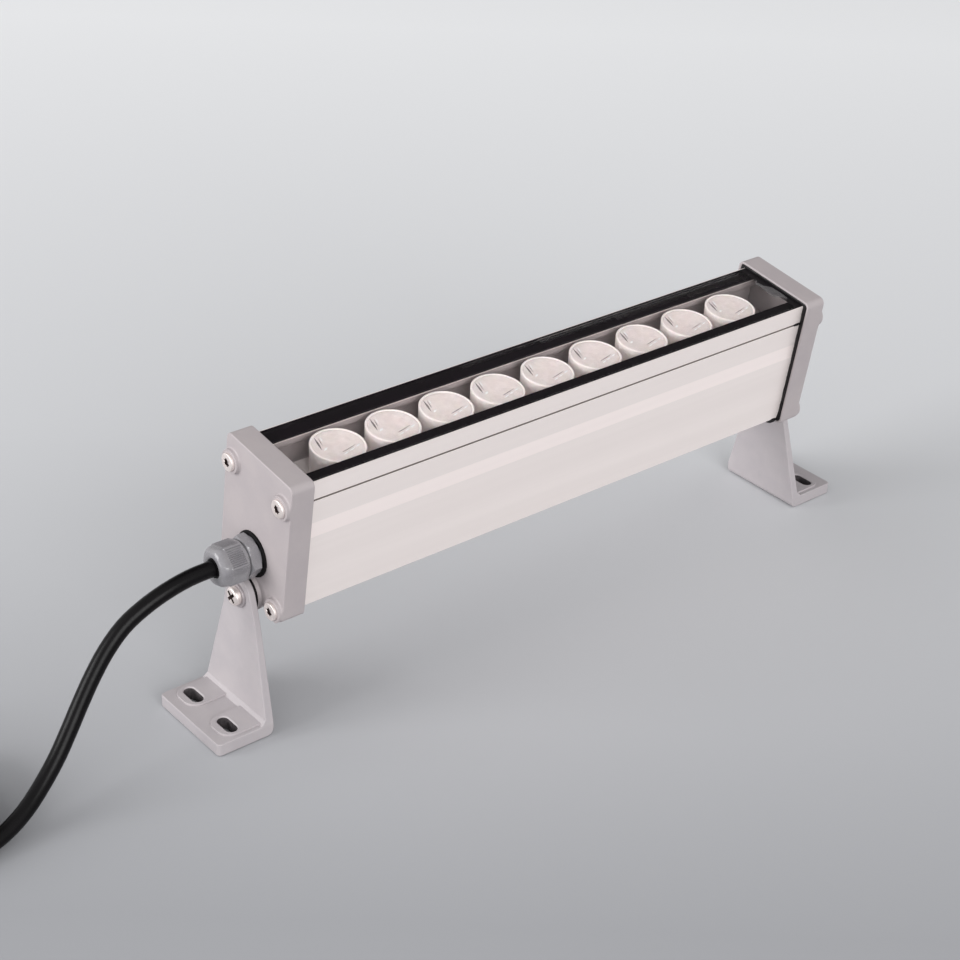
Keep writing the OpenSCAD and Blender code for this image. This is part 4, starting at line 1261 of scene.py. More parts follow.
@dataclass
class SealantBead:
    """Sealant squeezed out between the housing, the glass and a cap's rim."""

    sizes: HeadSizes
    end: End
    half_w: float = 22.0
    recess: float = 0.5
    points: int = 220
    # Its uneven swell: waves a millimetre and height of the coarse and the fine one
    coarse_rate: float = 0.21
    coarse_h: float = 0.3
    fine_rate: float = 0.9
    fine_h: float = 0.12
    # More of it at the low corner: the corner's place, and how far and how high that goes
    corner_x: float = 19.0
    corner_reach: float = 4.0
    corner_h: float = 0.9
    film_t: float = 0.22
    smears: int = 3
    # Blobs by the far cap: places across, back from the rim and up, and half their sizes
    blobs: tuple[tuple[Triple, Triple], ...] = (
        ((18.8, 2.4, -0.45), (1.9, 3.3, 1.6)),
        ((19.75, 1.2, 53.9), (0.35, 2.4, 0.75)),
    )

    def ray_to(self, angle: float, low_x: float, low_z: float, high_z: float) -> Pair:
        """Where a ray from the section's middle meets a rectangle.

        Args:
            angle: the ray's direction.
            low_x: half the rectangle's width.
            low_z, high_z: its lower and upper sides.

        Returns:
            The place, as (x, z).
        """
        middle = (self.sizes.cap_low + self.sizes.cap_high) / 2
        c, s = math.cos(angle), math.sin(angle)
        up = (high_z - middle) if s > 0 else (middle - low_z)
        reach = min(low_x / max(abs(c), TINY), up / max(abs(s), TINY))
        return reach * c, middle + reach * s

    def build(self) -> None:
        """Builds and dresses the bead, and the film of it that lies on the glass."""
        s = self.sizes
        shell = Shell()
        place = HEAD @ self.end.place() @ ALONG_Y
        seed = 11.0 if self.end is End.FAR else 47.0
        rings: list[list[Triple]] = [[] for _ in range(6)]
        for k in range(self.points):
            a = 2 * math.pi * k / self.points
            inner = self.ray_to(a, s.half_w + 0.1, s.low_z - 0.05, s.top_z + 0.05)
            outer = self.ray_to(a, self.half_w - 0.05, s.cap_low + 1.25, s.cap_high - 1.25)
            x, z = inner
            rough = noise.noise(Vector((x * self.coarse_rate + seed, z * self.coarse_rate, 0)))
            fine = noise.noise(Vector((x * self.fine_rate, z * self.fine_rate, seed)))
            swell = self.coarse_h * rough + self.fine_h * fine
            swell += self.corner_h * max(0.0, 1 - math.hypot(x - self.corner_x, z) / self.corner_reach)
            crest = Vector(inner).lerp(Vector(outer), 0.5)
            face = s.rim_y + self.recess - swell
            rings[0].append((*inner, s.pocket_y - 0.1))
            rings[1].append((*outer, s.pocket_y - 0.1))
            rings[2].append((*outer, face + 0.1))
            rings[3].append((*Vector(outer).lerp(crest, 0.6), face - 0.18))
            rings[4].append((*Vector(inner).lerp(crest, 0.6), face - 0.22))
            rings[5].append((*inner, face - 0.05))
        shell.skin([ring[::-1] for ring in rings], place, looped=True)
        if self.end is End.FAR:
            self.add_film(shell, seed, (-19.0, 19.0), s.rim_y + 0.9, self.black_reach, 0)
            for n in range(self.smears):
                across = (-12.0 + 2.5 * n, 12.0 - 1.5 * n)
                self.add_film(shell, seed + 9 * n, across, s.rim_y - 0.6, self.smear_reach, 1)
            for (x, back, z), radii in self.blobs:
                self.add_blob(shell, (x, s.rim_y - back, z), radii)
        name = f"gasket_{self.end.word}"
        finishes = [SILICONE, SILICONE_SMEAR]
        dress(loose(f"{name}_sealant", shell), Body.HEAD, finishes, [name], crease=60)

    def black_reach(self, x: float, seed: float) -> float:
        """How far the black film reaches in from the rim at a place across the glass."""
        ragged = noise.noise(Vector((x * 0.4, seed, 0))) + 0.6 * noise.noise(Vector((x * 1.5, seed, 4)))
        rear = 1 / (1 + math.exp((x + 1.5) * 1.6))
        front = 1 / (1 + math.exp((11.5 - x) * 2.2))
        return 1.7 + 0.6 * ragged + (2.9 + 0.7 * ragged) * rear + 3.1 * front

    def smear_reach(self, x: float, seed: float) -> float:
        """How far a grey smear reaches in at a place across the glass."""
        ragged = noise.noise(Vector((x * 0.22, seed, 8))) + 0.3 * noise.noise(Vector((x * 0.8, seed, 2)))
        return max(0.25, 5.2 + 2.4 * ragged)

    def add_film(
        self,
        shell: Shell,
        seed: float,
        across: Pair,
        start_y: float,
        reach_at: Callable[[float, float], float],
        shade: int,
    ) -> None:
        """Adds a ragged film of sealant on the glass beside the rim.

        Args:
            shell: the bead's shell.
            seed: moves the pattern of its edge.
            across: the places across the glass that it runs between.
            start_y: where it starts along the light.
            reach_at: how far it reaches in from there.
            shade: number of its finish.
        """
        s = self.sizes
        spans, along = 110, 6
        top: list[Triple] = []
        for i in range(spans + 1):
            x = across[0] + (across[1] - across[0]) * i / spans
            side = min(1.0, 4 * min(i, spans - i) / spans) if shade else 1.0
            reach = reach_at(x, seed) * side + 0.05
            for k in range(along + 1):
                share = k / along
                y = start_y - reach * share
                h = self.film_t * (1 - share**3) * (0.3 if shade else 1.0)
                h += 0.03 * noise.noise(Vector((x, y, seed)))
                top.append((x, y, s.top_z + max(h, 0.03)))
        low = [(x, y, s.top_z - 0.02) for x, y, _ in top]
        size = len(top)
        row = along + 1
        faces = []
        for i in range(spans):
            for k in range(along):
                a = i * row + k
                faces.append((a, a + 1, a + 1 + row, a + row))
                faces.append((a + size, a + size + row, a + size + row + 1, a + size + 1))
        rim = [i * row for i in range(spans + 1)]
        rim += [spans * row + k for k in range(1, row)]
        rim += [i * row + along for i in range(spans - 1, -1, -1)]
        rim += [k for k in range(along - 1, 0, -1)]
        for a, b in zip(rim, rim[1:] + rim[:1]):
            faces.append((a, b, b + size, a + size))
        shell.add([Vector(p) for p in top + low], [f[::-1] for f in faces], HEAD @ self.end.place(), shade)

    def add_blob(self, shell: Shell, middle: Triple, radii: Triple) -> None:
        """Adds a blob of sealant.

        Args:
            shell: the bead's shell.
            middle: place of its middle, in the upright head.
            radii: half its sizes across, along and up.
        """
        levels = [(-math.cos(a), max(math.sin(a), 0.02)) for a in (math.pi * k / 14 for k in range(15))]
        place = HEAD @ self.end.place() @ Matrix.Translation(middle) @ Matrix.Diagonal((*radii, 1)) @ OUT_FAR
        shell.turn(levels, place, 28)


@dataclass
class CapScrews:
    """Four low, flat-topped screws with six-lobed sockets in a cap's seats."""

    sizes: HeadSizes
    end: End
    seat_t: float = 1.8
    shank_r: float = 1.6
    shank_l: float = 16.0
    head_r: float = 3.95
    head_h: float = 1.2
    head_ease: float = 0.4
    socket_r: float = 1.72
    socket_lobe: float = 0.26
    socket_depth: float = 1.3

    def levels(self) -> list[Level]:
        """Levels of a screw from its tip to the floor of its socket."""
        edge = rounded_top(self.head_h, self.head_r, self.head_ease, 5)
        levels: list[Level] = [
            (-self.shank_l, self.shank_r * 0.6),
            (-self.shank_l + 0.8, self.shank_r),
            (0, self.shank_r),
            (0, self.head_r - 0.1),
            (0.1, self.head_r),
        ]
        levels += edge
        levels += [
            (self.head_h + 0.1, self.head_r * 0.62),
            (self.head_h + 0.1, star(self.socket_r + 0.12, self.socket_lobe)),
            (self.head_h - 0.06, star(self.socket_r, self.socket_lobe)),
            (self.head_h - self.socket_depth, star(self.socket_r, self.socket_lobe)),
            (self.head_h - self.socket_depth - 0.3, 0.2),
        ]
        return levels

    def build(self) -> None:
        """Builds and dresses the four screws."""
        s = self.sizes
        shell = Shell()
        for n, (x, z) in enumerate(s.ports()):
            place = (
                HEAD
                @ self.end.place()
                @ Matrix.Translation((x, s.cap_y + self.seat_t, z))
                @ OUT_FAR
                @ Matrix.Rotation(0.4 + 0.9 * n, 4, "Z")
            )
            # The socket's walls and floor take the painted shade
            shell.turn(self.levels(), place, 72, last_spans=2)
        name = f"cap_screws_{self.end.word}"
        finishes = [STAINLESS, RECESS_PAINTED_SHADE]
        dress(loose(f"{name}_button_head", shell), Body.HEAD, finishes, [name])


@dataclass
class TiltJoint:
    """Screw, steel washer and rubber washer that hold the head in a bracket's ear."""

    end: End
    ear_y: float = 153.8
    ear_t: float = 3.0
    washer_r: float = 5.5
    washer_t: float = 0.9
    bore_r: float = 2.6
    head_r: float = 4.1
    head_h: float = 2.6
    shank_r: float = 2.5
    shank_l: float = 10.0
    rubber_r: float = 8.8
    rubber_t: float = 1.1
    cross_arm: float = 2.75
    cross_half_w: float = 0.55

    def ring(self, r: float, bore: float, t: float, ease: float) -> list[Pair]:
        """Levels of a washer with eased edges."""
        corners = [(bore, 0), (r, 0), (r, t), (bore, t)]
        return [(z, radius) for radius, z in eased(corners, ease, 3, closed=True)]

    def screw_levels(self) -> list[Level]:
        """Levels of the pan-head screw from its tip to the floor of its cross."""
        dome = [
            (
                self.head_h * (0.5 + 0.5 * math.sin(a)),
                self.head_r * (0.72 + 0.28 * math.cos(a)),
            )
            for a in quarter(8)
        ]
        levels: list[Level] = [
            (-self.shank_l, self.shank_r * 0.7),
            (-self.shank_l + 1, self.shank_r),
            (0, self.shank_r),
            (0, self.head_r - 0.15),
            (0.15, self.head_r),
        ]
        levels += dome
        levels += [
            (self.head_h, cross(self.cross_arm + 0.1, self.cross_half_w + 0.15)),
            (self.head_h - 0.25, cross(self.cross_arm - 0.1, self.cross_half_w)),
            (self.head_h - 1.9, cross(self.cross_arm * 0.55, self.cross_half_w * 0.6)),
        ]
        return levels

    def build(self) -> None:
        """Builds and dresses the joint's pieces."""
        place = HEAD @ self.end.place()
        word = self.end.word
        screw, washer, rubber = Shell(), Shell(), Shell()
        seat_y = self.ear_y + self.ear_t + self.washer_t
        turn = Matrix.Rotation(math.radians(38), 4, "Z")
        screw_place = place @ Matrix.Translation((0, seat_y, 0)) @ OUT_FAR @ turn
        # The cross recess's walls and floor take the painted shade
        screw.turn(self.screw_levels(), screw_place, 96, last_spans=2)
        washer.turn(
            self.ring(self.washer_r, self.bore_r, self.washer_t, 0.2),
            place @ Matrix.Translation((0, self.ear_y + self.ear_t, 0)) @ OUT_FAR,
            64,
            looped=True,
        )
        rubber.turn(
            self.ring(self.rubber_r, self.bore_r, self.rubber_t, 0.25),
            place @ Matrix.Translation((0, self.ear_y - self.rubber_t, 0)) @ OUT_FAR,
            64,
            looped=True,
        )
        for label, shell, finishes, slot, node in (
            ("tilt_screw_pan_head", screw, [STAINLESS, RECESS_PAINTED_SHADE], "stainless_screw", "tilt_screw"),
            ("tilt_washer_steel", washer, [ZINC], "stainless_washer", "tilt_washer"),
            ("friction_washer_rubber", rubber, [RUBBER], "black_rubber", "friction_washer"),
        ):
            dress(loose(f"{label}_{word}", shell), Body.HEAD, finishes, [f"{node}_{word}"])


@dataclass
class FootBracket:
    """Cast bracket: an ear on a drafted plate, a foot and two raised pads with slots."""

    end: End
    ear_r: float = 9.0
    ear_y: float = 153.8
    ear_t: float = 3.0
    heel_y: float = 155.8
    plate_y: float = 159.6
    foot_y: float = 182.98
    foot_w: float = 45.6
    foot_t: float = 5.7
    foot_corner_r: float = 2.0
    heel_r: float = 3.0
    chamfer: float = 2.1
    flare_x: float = 8.664
    flare_z: float = 60.045
    slot_x: float = 13.0
    slot_y: float = 172.4
    slot_l: float = 11.5
    slot_w: float = 5.2
    pad_w: float = 15.6
    pad_h: float = 0.8
    pad_y: float = 178.3
    pad_corner_r: float = 6.0
    hole_r: float = 2.55
    cast_ease: float = 0.45

    def side_view(self) -> list[Pair]:
        """Outline of the bracket seen along X, as (y, z), anticlockwise."""
        low, high = PIVOT_H - self.ear_r, PIVOT_H + self.ear_r
        heel = [
            (
                self.heel_y + self.heel_r * (1 + math.cos(a)),
                self.heel_r * (1 + math.sin(a)),
            )
            for a in (math.radians(180 + 15 * k) for k in range(7))
        ]
        return (
            [(self.ear_y, high), (self.ear_y, low)]
            + heel
            + [(self.foot_y, 0), (self.foot_y, self.foot_t)]
            + [(self.plate_y + self.chamfer, self.foot_t), (self.plate_y, self.foot_t + self.chamfer)]
            + [(self.ear_y + self.ear_t, low), (self.ear_y + self.ear_t, high)]
        )

    def front_view(self) -> list[Pair]:
        """Outline of the bracket seen along Y, as (x, z), anticlockwise."""
        half = self.foot_w / 2
        start = math.atan2(self.flare_z - PIVOT_H, self.flare_x)
        ear = []
        for k in range(33):
            a = start + (math.pi - 2 * start) * k / 32
            ear.append((self.ear_r * math.cos(a), PIVOT_H + self.ear_r * math.sin(a)))
        return [(-half, 0), (half, 0), (half, self.foot_t)] + ear + [(-half, self.foot_t)]

    def pad(self, x: float) -> Shell:
        """One raised pad with round outer corners and an eased top edge.

        Args:
            x: place of its middle.

        Returns:
            The pad.
        """
        half, r = self.pad_w / 2, self.pad_corner_r
        outline = [(x - half, self.plate_y - 1), (x + half, self.plate_y - 1)]
        for cx, start in ((x + half - r, 0), (x - half + r, 90)):
            for k in range(9):
                a = math.radians(start + 90 * k / 8)
                outline.append((cx + r * math.cos(a), self.pad_y - r + r * math.sin(a)))
        shell = Shell()
        low, top = self.foot_t - 1, self.foot_t + self.pad_h
        shell.slab(outline, [(low, -0.12), (top - 0.5, 0)] + edge_levels(top - 0.45, top, 0, 0.2, 3)[4:])
        return shell

    def slot_cutter(self, x: float) -> Shell:
        """Cutter for one slot, flared at both faces.

        Args:
            x: place of its middle.

        Returns:
            The cutter.
        """
        r, straight = self.slot_w / 2, (self.slot_l - self.slot_w) / 2
        outline = []
        for side, start in ((1, -90), (-1, 90)):
            for k in range(13):
                a = math.radians(start + 15 * k)
                outline.append((x + side * straight + r * math.cos(a), self.slot_y + r * math.sin(a)))
        top = self.foot_t + self.pad_h
        flare = 0.5
        levels = [(-1, -flare), (0, -0.3), (0.3, 0), (top - flare, 0), (top, -flare), (top + 1, -2.2 * flare)]
        shell = Shell()
        shell.slab(outline, levels)
        return shell

    def build(self) -> None:
        """Builds and dresses the bracket."""
        half = self.foot_w / 2
        side, front, plan = Shell(), Shell(), Shell()
        side.slab(self.side_view(), [(-half, 0), (half, 0)], ACROSS_X)
        front.slab(self.front_view(), [(self.ear_y - 1, 0), (self.foot_y + 1, 0)], ALONG_Y)
        plan.slab(
            rounded_box(-half, half, self.ear_y - 5, self.foot_y, self.foot_corner_r),
            [(-1, 0), (PIVOT_H + self.ear_r + 1, 0)],
        )
        item = loose(f"bracket_{self.end.word}_casting", side)
        carve(item, front, "INTERSECT")
        carve(item, plan, "INTERSECT")
        soften(item, self.cast_ease, 3, 35)
        for x in (-self.slot_x, self.slot_x):
            carve(item, self.pad(x), "UNION")
        for x in (-self.slot_x, self.slot_x):
            carve(item, self.slot_cutter(x))
        hole = Shell()
        hole.turn(
            [(-1, self.hole_r), (self.ear_t + 1, self.hole_r)],
            Matrix.Translation((0, self.ear_y, PIVOT_H)) @ OUT_FAR,
            48,
        )
        carve(item, hole)
        if self.end is End.GLAND:
            item.data.transform(End.GLAND.place())
            item.data.flip_normals()
        self.darken_slots(item)
        name = f"bracket_{self.end.word}"
        finishes = [BRACKET_COAT, SLOT_PAINTED_SHADE]
        dress(item, self.end.bracket_body, finishes, [name], crease=35)

    def darken_slots(self, item: bpy.types.Object) -> None:
        """Gives the slots' upright walls their dark finish of painted shade."""
        reach_x, reach_y = self.slot_l / 2 + 0.1, self.slot_w / 2 + 0.1
        for face in item.data.polygons:
            x, y, z = (abs(v) / MM for v in face.center)
            in_slot = abs(x - self.slot_x) < reach_x and abs(y - self.slot_y) < reach_y
            if in_slot and z < self.foot_t + self.pad_h - 0.3:
                face.material_index = 1


@dataclass
class CableGland:
    """Polyamide gland: black ring, hexagonal base and a dome nut with ribbed flats."""

    sizes: HeadSizes
    up: float = 19.1
    ring_r: float = 10.2
    ring_t: float = 1.1
    base_r: float = 9.7
    base_t: float = 4.9
    collar_r: float = 7.4
    nut_z: float = 6.6
    nut_r: float = 9.5
    nut_l: float = 9.2
    nut_turn: float = 22.0
    dome_r: float = 9.0
    dome_l: float = 3.7
    dome_steps: int = 10
    nose_r: float = 6.1
    bore_r: float = 4.2
    thread_r: float = 6.0
    rib_depth: float = 0.5
    rib_share: float = 0.46
    ribs: int = 9

    def place(self) -> Matrix:
        """Carries a turned piece to the gland's axis, outwards from the cap's face."""
        return HEAD @ Matrix.Translation((0, -self.sizes.cap_y, self.up)) @ OUT_GLAND

    def ribbed(self, depth: float) -> Section:
        """Section of the nut with a patch of fine ribs on each flat.

        Args:
            depth: height of the ribs.

        Returns:
            The section's radius at an angle.
        """
        bar = hexagon(self.nut_r, self.nut_r)

        def radius(angle: float) -> float:
            from_flat = off_flat(angle)
            if abs(from_flat) > self.rib_share:
                return bar(angle)
            wave = 0.5 + 0.5 * math.cos(from_flat / self.rib_share * self.ribs * math.pi)
            return bar(angle) + depth * (wave - 0.75)

        return radius

    def build(self) -> None:
        """Builds and dresses the gland's pieces."""
        place = self.place()
        ring, base, nut = Shell(), Shell(), Shell()
        ring_line = eased(
            [
                (self.thread_r + 0.1, 0),
                (self.ring_r, 0),
                (self.ring_r - 0.1, self.ring_t),
                (self.thread_r + 0.1, self.ring_t),
            ],
            0.35,
            3,
            closed=True,
        )
        ring.turn([(z, r) for r, z in ring_line], place, 64, looped=True)
        flat = self.base_r * math.cos(math.pi / 6)
        z0, z1 = self.ring_t, self.ring_t + self.base_t
        base.turn(
            [
                (-7.5, self.thread_r),
                (z0, self.thread_r),
                (z0, hexagon(self.base_r, flat)),
                (z0 + 0.5, hexagon(self.base_r, flat + 0.75)),
                (z0 + 0.8, hexagon(self.base_r, self.base_r)),
                (z1 - 0.8, hexagon(self.base_r, self.base_r)),
                (z1 - 0.4, hexagon(self.base_r, flat + 0.7)),
                (z1 - 0.1, hexagon(self.base_r, flat + 0.1)),
                (z1, flat - 0.2),
                (z1, self.collar_r),
                (z1 + 9.0, self.collar_r - 0.2),
                (z1 + 9.0, self.bore_r),
                (-7.5, self.bore_r - 0.3),
            ],
            place,
            96,
            looped=True,
        )
        flat = self.nut_r * math.cos(math.pi / 6)
        z0, z1 = self.nut_z, self.nut_z + self.nut_l
        levels: list[Level] = [
            (z0 + 0.2, self.collar_r + 0.15),
            (z0, self.collar_r + 0.4),
            (z0, flat - 0.2),
            (z0 + 0.1, hexagon(self.nut_r, flat + 0.1)),
            (z0 + 0.45, hexagon(self.nut_r, flat + 0.7)),
            (z0 + 0.9, hexagon(self.nut_r, self.nut_r)),
            (z0 + 1.2, self.ribbed(0)),
            (z0 + 1.5, self.ribbed(self.rib_depth)),
            (z1 - 1.2, self.ribbed(self.rib_depth)),
            (z1 - 0.8, self.ribbed(0)),
            (z1 - 0.5, hexagon(self.nut_r, self.nut_r)),
            (z1 - 0.1, hexagon(self.nut_r, flat + 0.75)),
        ]
        for k, a in enumerate(quarter(self.dome_steps)):
            r = self.nose_r + (self.dome_r - self.nose_r) * math.cos(a)
            z = z1 + self.dome_l * math.sin(a)
            fullness = 1.055 + 0.1 * k / self.dome_steps
            levels.append((z, hexagon(self.nut_r if k == 0 else r * fullness, r)))
        tip = z1 + self.dome_l
        levels += [
            (tip, 5.3),
            (tip - 0.2, 4.7),
            (tip - 0.6, self.bore_r),
            (tip - 3, self.bore_r),
            (z1, self.collar_r),
        ]
        turned = place @ Matrix.Rotation(math.radians(self.nut_turn), 4, "Z")
        nut.turn(levels, turned, 480, looped=True)
        dress(loose("gland_sealing_ring", ring), Body.HEAD, [RUBBER], ["gland_ring"])
        dress(loose("gland_base_hexagon", base), Body.HEAD, [GLAND_NYLON], ["gland_body"], 35)
        dress(loose("gland_dome_nut", nut), Body.HEAD, [GLAND_NYLON], ["gland_nut"], 35)


@dataclass
class SupplyCable:
    """Round black cable from the gland to its coil, with its tie and its bare cores."""

    diameter: float = 7.0
    exit: Triple = (2.592, -170.2, 76.723)
    nose_y: float = 170.2
    # Places across the light, along it from the gland's nose, and heights
    route: tuple[Triple, ...] = (
        (2.6, -11, 76.3), (2.5, -22, 74), (2, -32, 70), (1.5, -41, 64.5), (2.1, -49.5, 57),
        (3.5, -57, 48.7), (5.3, -64, 40), (7.6, -71, 31.3), (10.3, -78.5, 23), (13.5, -87.5, 15.5),
        (17.1, -97.5, 9.5), (20.5, -108.5, 6), (23, -120, 4.8), (24, -131.8, 4.7),
    )
    coil_centre: Triple = (-19.0, -309.0, 4.7)
    coil_r: float = 43.0
    coil_step: float = 7.8
    coil_rise: float = 7.6
    coil_turns: float = 3.5
    steps_per_turn: int = 40
    sides: int = 20
    length_m: float = 1.0
    tie_w: float = 3.6
    tie_t: float = 1.0
    core_r: float = 1.2
    core_l: float = 28.0
    core_places: tuple[Pair, ...] = ((-1.6, -0.8), (0.0, 1.6), (1.6, -0.8))
    # A ferrule's plastic collar and its crimped pin, as heights and radii
    collar: tuple[Pair, ...] = ((0, 1.3), (0.2, 1.65), (2.8, 1.65), (4.0, 1.15))
    pin: tuple[Pair, ...] = (
        (0.2, 1.0),
        (3.9, 1.05),
        (5.2, 1.05),
        (5.4, 0.95),
        (6.2, 0.95),
        (6.4, 1.05),
        (8.8, 1.0),
        (9.0, 0.8),
    )
    still_point: int = 10

    def coil_point(self, degrees: float) -> Vector:
        """Place on the coil's middle line at an angle along its turns."""
        middle = 180 * self.coil_turns
        reach = self.coil_r - self.coil_step * (middle - abs(degrees - middle)) / 360
        climb = min(1.0, max(0.0, (degrees - middle + 90) / 180))
        a = math.radians(degrees)
        return Vector(self.coil_centre) + Vector(
            (reach * math.cos(a), -reach * math.sin(a), self.coil_rise * climb)
        )

    def smooth(self, points: Sequence[Vector], spans: int) -> list[Vector]:
        """Runs a smooth line through points.

        Args:
            points: the points.
            spans: spans between two of them.

        Returns:
            The smooth line's points.
        """
        line: list[Vector] = []
        for i in range(len(points) - 1):
            a, b = points[max(i - 1, 0)], points[i]
            c, d = points[i + 1], points[min(i + 2, len(points) - 1)]
            for k in range(spans):
                t = k / spans
                line.append(
                    0.5
                    * (
                        2 * b
                        + (c - a) * t
                        + (2 * a - 5 * b + 4 * c - d) * t**2
                        + (3 * b - a - 3 * c + d) * t**3
                    )
                )
        return line + [points[-1]]

    def path(self) -> list[Vector]:
        """The cable's middle line from the gland's nose to its bare end."""
        drop = [Vector(self.exit)] + [Vector((x, y - self.nose_y, z)) for x, y, z in self.route]
        turns = round(self.coil_turns * self.steps_per_turn)
        coil = [self.coil_point(360 * k / self.steps_per_turn) for k in range(turns + 1)]
        return self.smooth(drop, 3) + coil + [coil[-1] + Vector((0, self.diameter, 0))]

    def tube(
        self,
        shell: Shell,
        path: Sequence[Vector],
        radius: float,
        sides: int,
        shade: int = 0,
        round_end: float = 0.0,
    ) -> None:
        """Adds a tube along a path.

        Args:
            shell: the shell that it is added to.
            path: its middle line.
            radius: its radius.
            sides: number of its sides.
            shade: number of its finish.
            round_end: how far its end's edge is drawn in.
        """
        across = Vector((0.2, 0.1, 1.0))
        rings = []
        last = len(path) - 1
        for i, spot in enumerate(path):
            way = (path[min(i + 1, last)] - path[max(i - 1, 0)]).normalized()
            across = (across - way * across.dot(way)).normalized()
            other = way.cross(across)
            scale = radius - (round_end if i == last else 0.0)
            rings.append(
                [
                    tuple(spot + (across * math.cos(a) + other * math.sin(a)) * scale)
                    for a in (2 * math.pi * k / sides for k in range(sides))
                ]
            )
        shell.skin(rings, shade=shade)

    def build_cores(self, root: Vector) -> tuple[bpy.types.Object, bpy.types.Object]:
        """Builds the three cores and their ferrules.

        Args:
            root: where the jacket ends.

        Returns:
            The cores and the ferrules.
        """
        cores, ferrules = Shell(), Shell()
        for k, (x, z) in enumerate(self.core_places):
            start = root + Vector((x, 0, z))
            tip = root + Vector((2 * x, self.core_l, z - self.diameter / 4))
            run = [
                start,
                start + Vector((0, self.core_l / 4, 0)),
                start.lerp(tip, 0.5),
                tip - Vector((0, self.core_l / 4, 0)),
                tip,
            ]
            self.tube(cores, self.smooth(run, 5), self.core_r, 12, k)
            place = Matrix.Translation(tip) @ OUT_FAR
            ferrules.turn(self.collar, place, 24, shade=1)
            ferrules.turn(self.pin, place, 24)
        cores_item = loose("bare_cores", cores)
        colours = [CORE_BLUE, CORE_YELLOW, CORE_BROWN]
        dress(cores_item, Body.NEAR_BRACKET, colours, ["cable_cores"])
        ferrules_item = loose("core_end_ferrules", ferrules)
        sleeves = [TINNED_COPPER, CORE_BLUE]
        dress(ferrules_item, Body.NEAR_BRACKET, sleeves, ["core_ferrules"])
        return cores_item, ferrules_item

    def build_tie(self) -> bpy.types.Object:
        """Builds the cable tie round the coil's strands, with its head."""
        tie_r = (
            (self.coil_point(90) - Vector(self.coil_centre)).length
            + (self.coil_point(450) - Vector(self.coil_centre)).length
        ) / 2
        hole_w = self.coil_step + self.diameter + 0.4
        hole_h = self.coil_rise + self.diameter + 0.4
        middle = Vector((self.coil_centre[0], self.coil_centre[1] - tie_r, self.tie_t + hole_h / 2))
        shell = Shell()
        place = Matrix.Translation(middle) @ ACROSS_X
        inner = rounded_box(-hole_w / 2, hole_w / 2, -hole_h / 2, hole_h / 2, 2.6, 6)
        outer = inset(inner, -self.tie_t)
        half = self.tie_w / 2
        rings = [
            [(x, y, -half) for x, y in inner],
            [(x, y, -half) for x, y in inset(outer, 0.15)],
            [(x, y, -half + 0.3) for x, y in outer],
            [(x, y, half - 0.3) for x, y in outer],
            [(x, y, half) for x, y in inset(outer, 0.15)],
            [(x, y, half) for x, y in inner],
        ]
        shell.skin(rings, place, looped=True)
        head_z = hole_h / 2 + self.tie_t
        block = rounded_box(-2.3, 2.3, head_z - 0.2, head_z + 3.4, 0.6, 3)
        shell.slab(block, edge_levels(-2.7, 2.7, 0.4, 0.4, 2), place)
        item = loose("coil_cable_tie", shell)
        return dress(item, Body.NEAR_BRACKET, [TIE_NYLON], ["coil_tie"])

    def build(self) -> None:
        path = self.path()
        shell = Shell()
        self.tube(shell, path, self.diameter / 2, self.sides, round_end=0.3)
        cable = loose("supply_cable_lead", shell)
        solids = ["supply_cable", "cable_coil"]
        dress(cable, Body.NEAR_BRACKET, [JACKET], solids, crease=60, rides=False)
        cores, ferrules = self.build_cores(path[-1])
        tie = self.build_tie()
        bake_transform(cable)


# The pieces whose own solids are dressed, with the finish of each
DRESSED_NODES: dict[str, Finish] = {
    "light_board": WHITE_BOARD,
    "heat_pad": HEAT_PAD,
    "leds": PHOSPHOR,
    "board_screws": STAINLESS,
    "board_connector": CONNECTOR_NYLON,
    "lead_grommet": RUBBER,
    "board_leads": CORE_BROWN,
    "driver_case": CASE_ABS,
    "driver_lid": CASE_ABS,
    "driver_board": GREEN_BOARD,
    "driver_parts": DRIVER_PARTS,
    "mains_leads": CORE_BLUE,
    "wire_splices": SPLICE_PVC,
    "cable_end": JACKET,
    "gland_insert": RUBBER,
    "gland_locknut": GLAND_NYLON,
}


def dress_nodes() -> None:
    """Gives each solid that stays its finish."""
    for name, finish in DRESSED_NODES.items():
        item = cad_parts[name]
        for place in item.material_slots:
            place.material = finish.material()
        log.info("%s: dressed as %s", name, finish.name)


# Camera, lights and floor


@dataclass(frozen=True)
class PhotoCamera:
    """The photograph's camera."""

    place: Triple = (0.60862, -0.53999, 0.52829)
    turn: Triple = (59.9334, -1.7524, 51.0516)
    lens: float = 77.82
    shift: Pair = (0.0011, 0.0001)

    def build(self) -> None:
        """Puts the camera in the scene."""
        data = bpy.data.cameras.new("photo_camera")
        data.lens = self.lens
        data.sensor_width = 36.0
        data.shift_x, data.shift_y = self.shift
        item = bpy.data.objects.new("photo_camera", data)
        item.location = self.place
        item.rotation_euler = [math.radians(a) for a in self.turn]
        bpy.context.scene.collection.objects.link(item)
        bpy.context.scene.camera = item


@dataclass(frozen=True)
class Softbox:
    """A square lamp that shines at one place."""

    name: str
    place: Triple
    size: float
    watts: float
    aim: Triple = (0.0, 0.0, 0.07)

    def build(self) -> None:
        """Puts the lamp in the scene."""
        data = bpy.data.lights.new(self.name, "AREA")
        data.shape = "SQUARE"
        data.size = self.size
        data.energy = self.watts
        item = bpy.data.objects.new(self.name, data)
        item.location = self.place
        item.rotation_euler = (Vector(self.aim) - Vector(self.place)).to_track_quat("-Z", "Y").to_euler()
        bpy.context.scene.collection.objects.link(item)


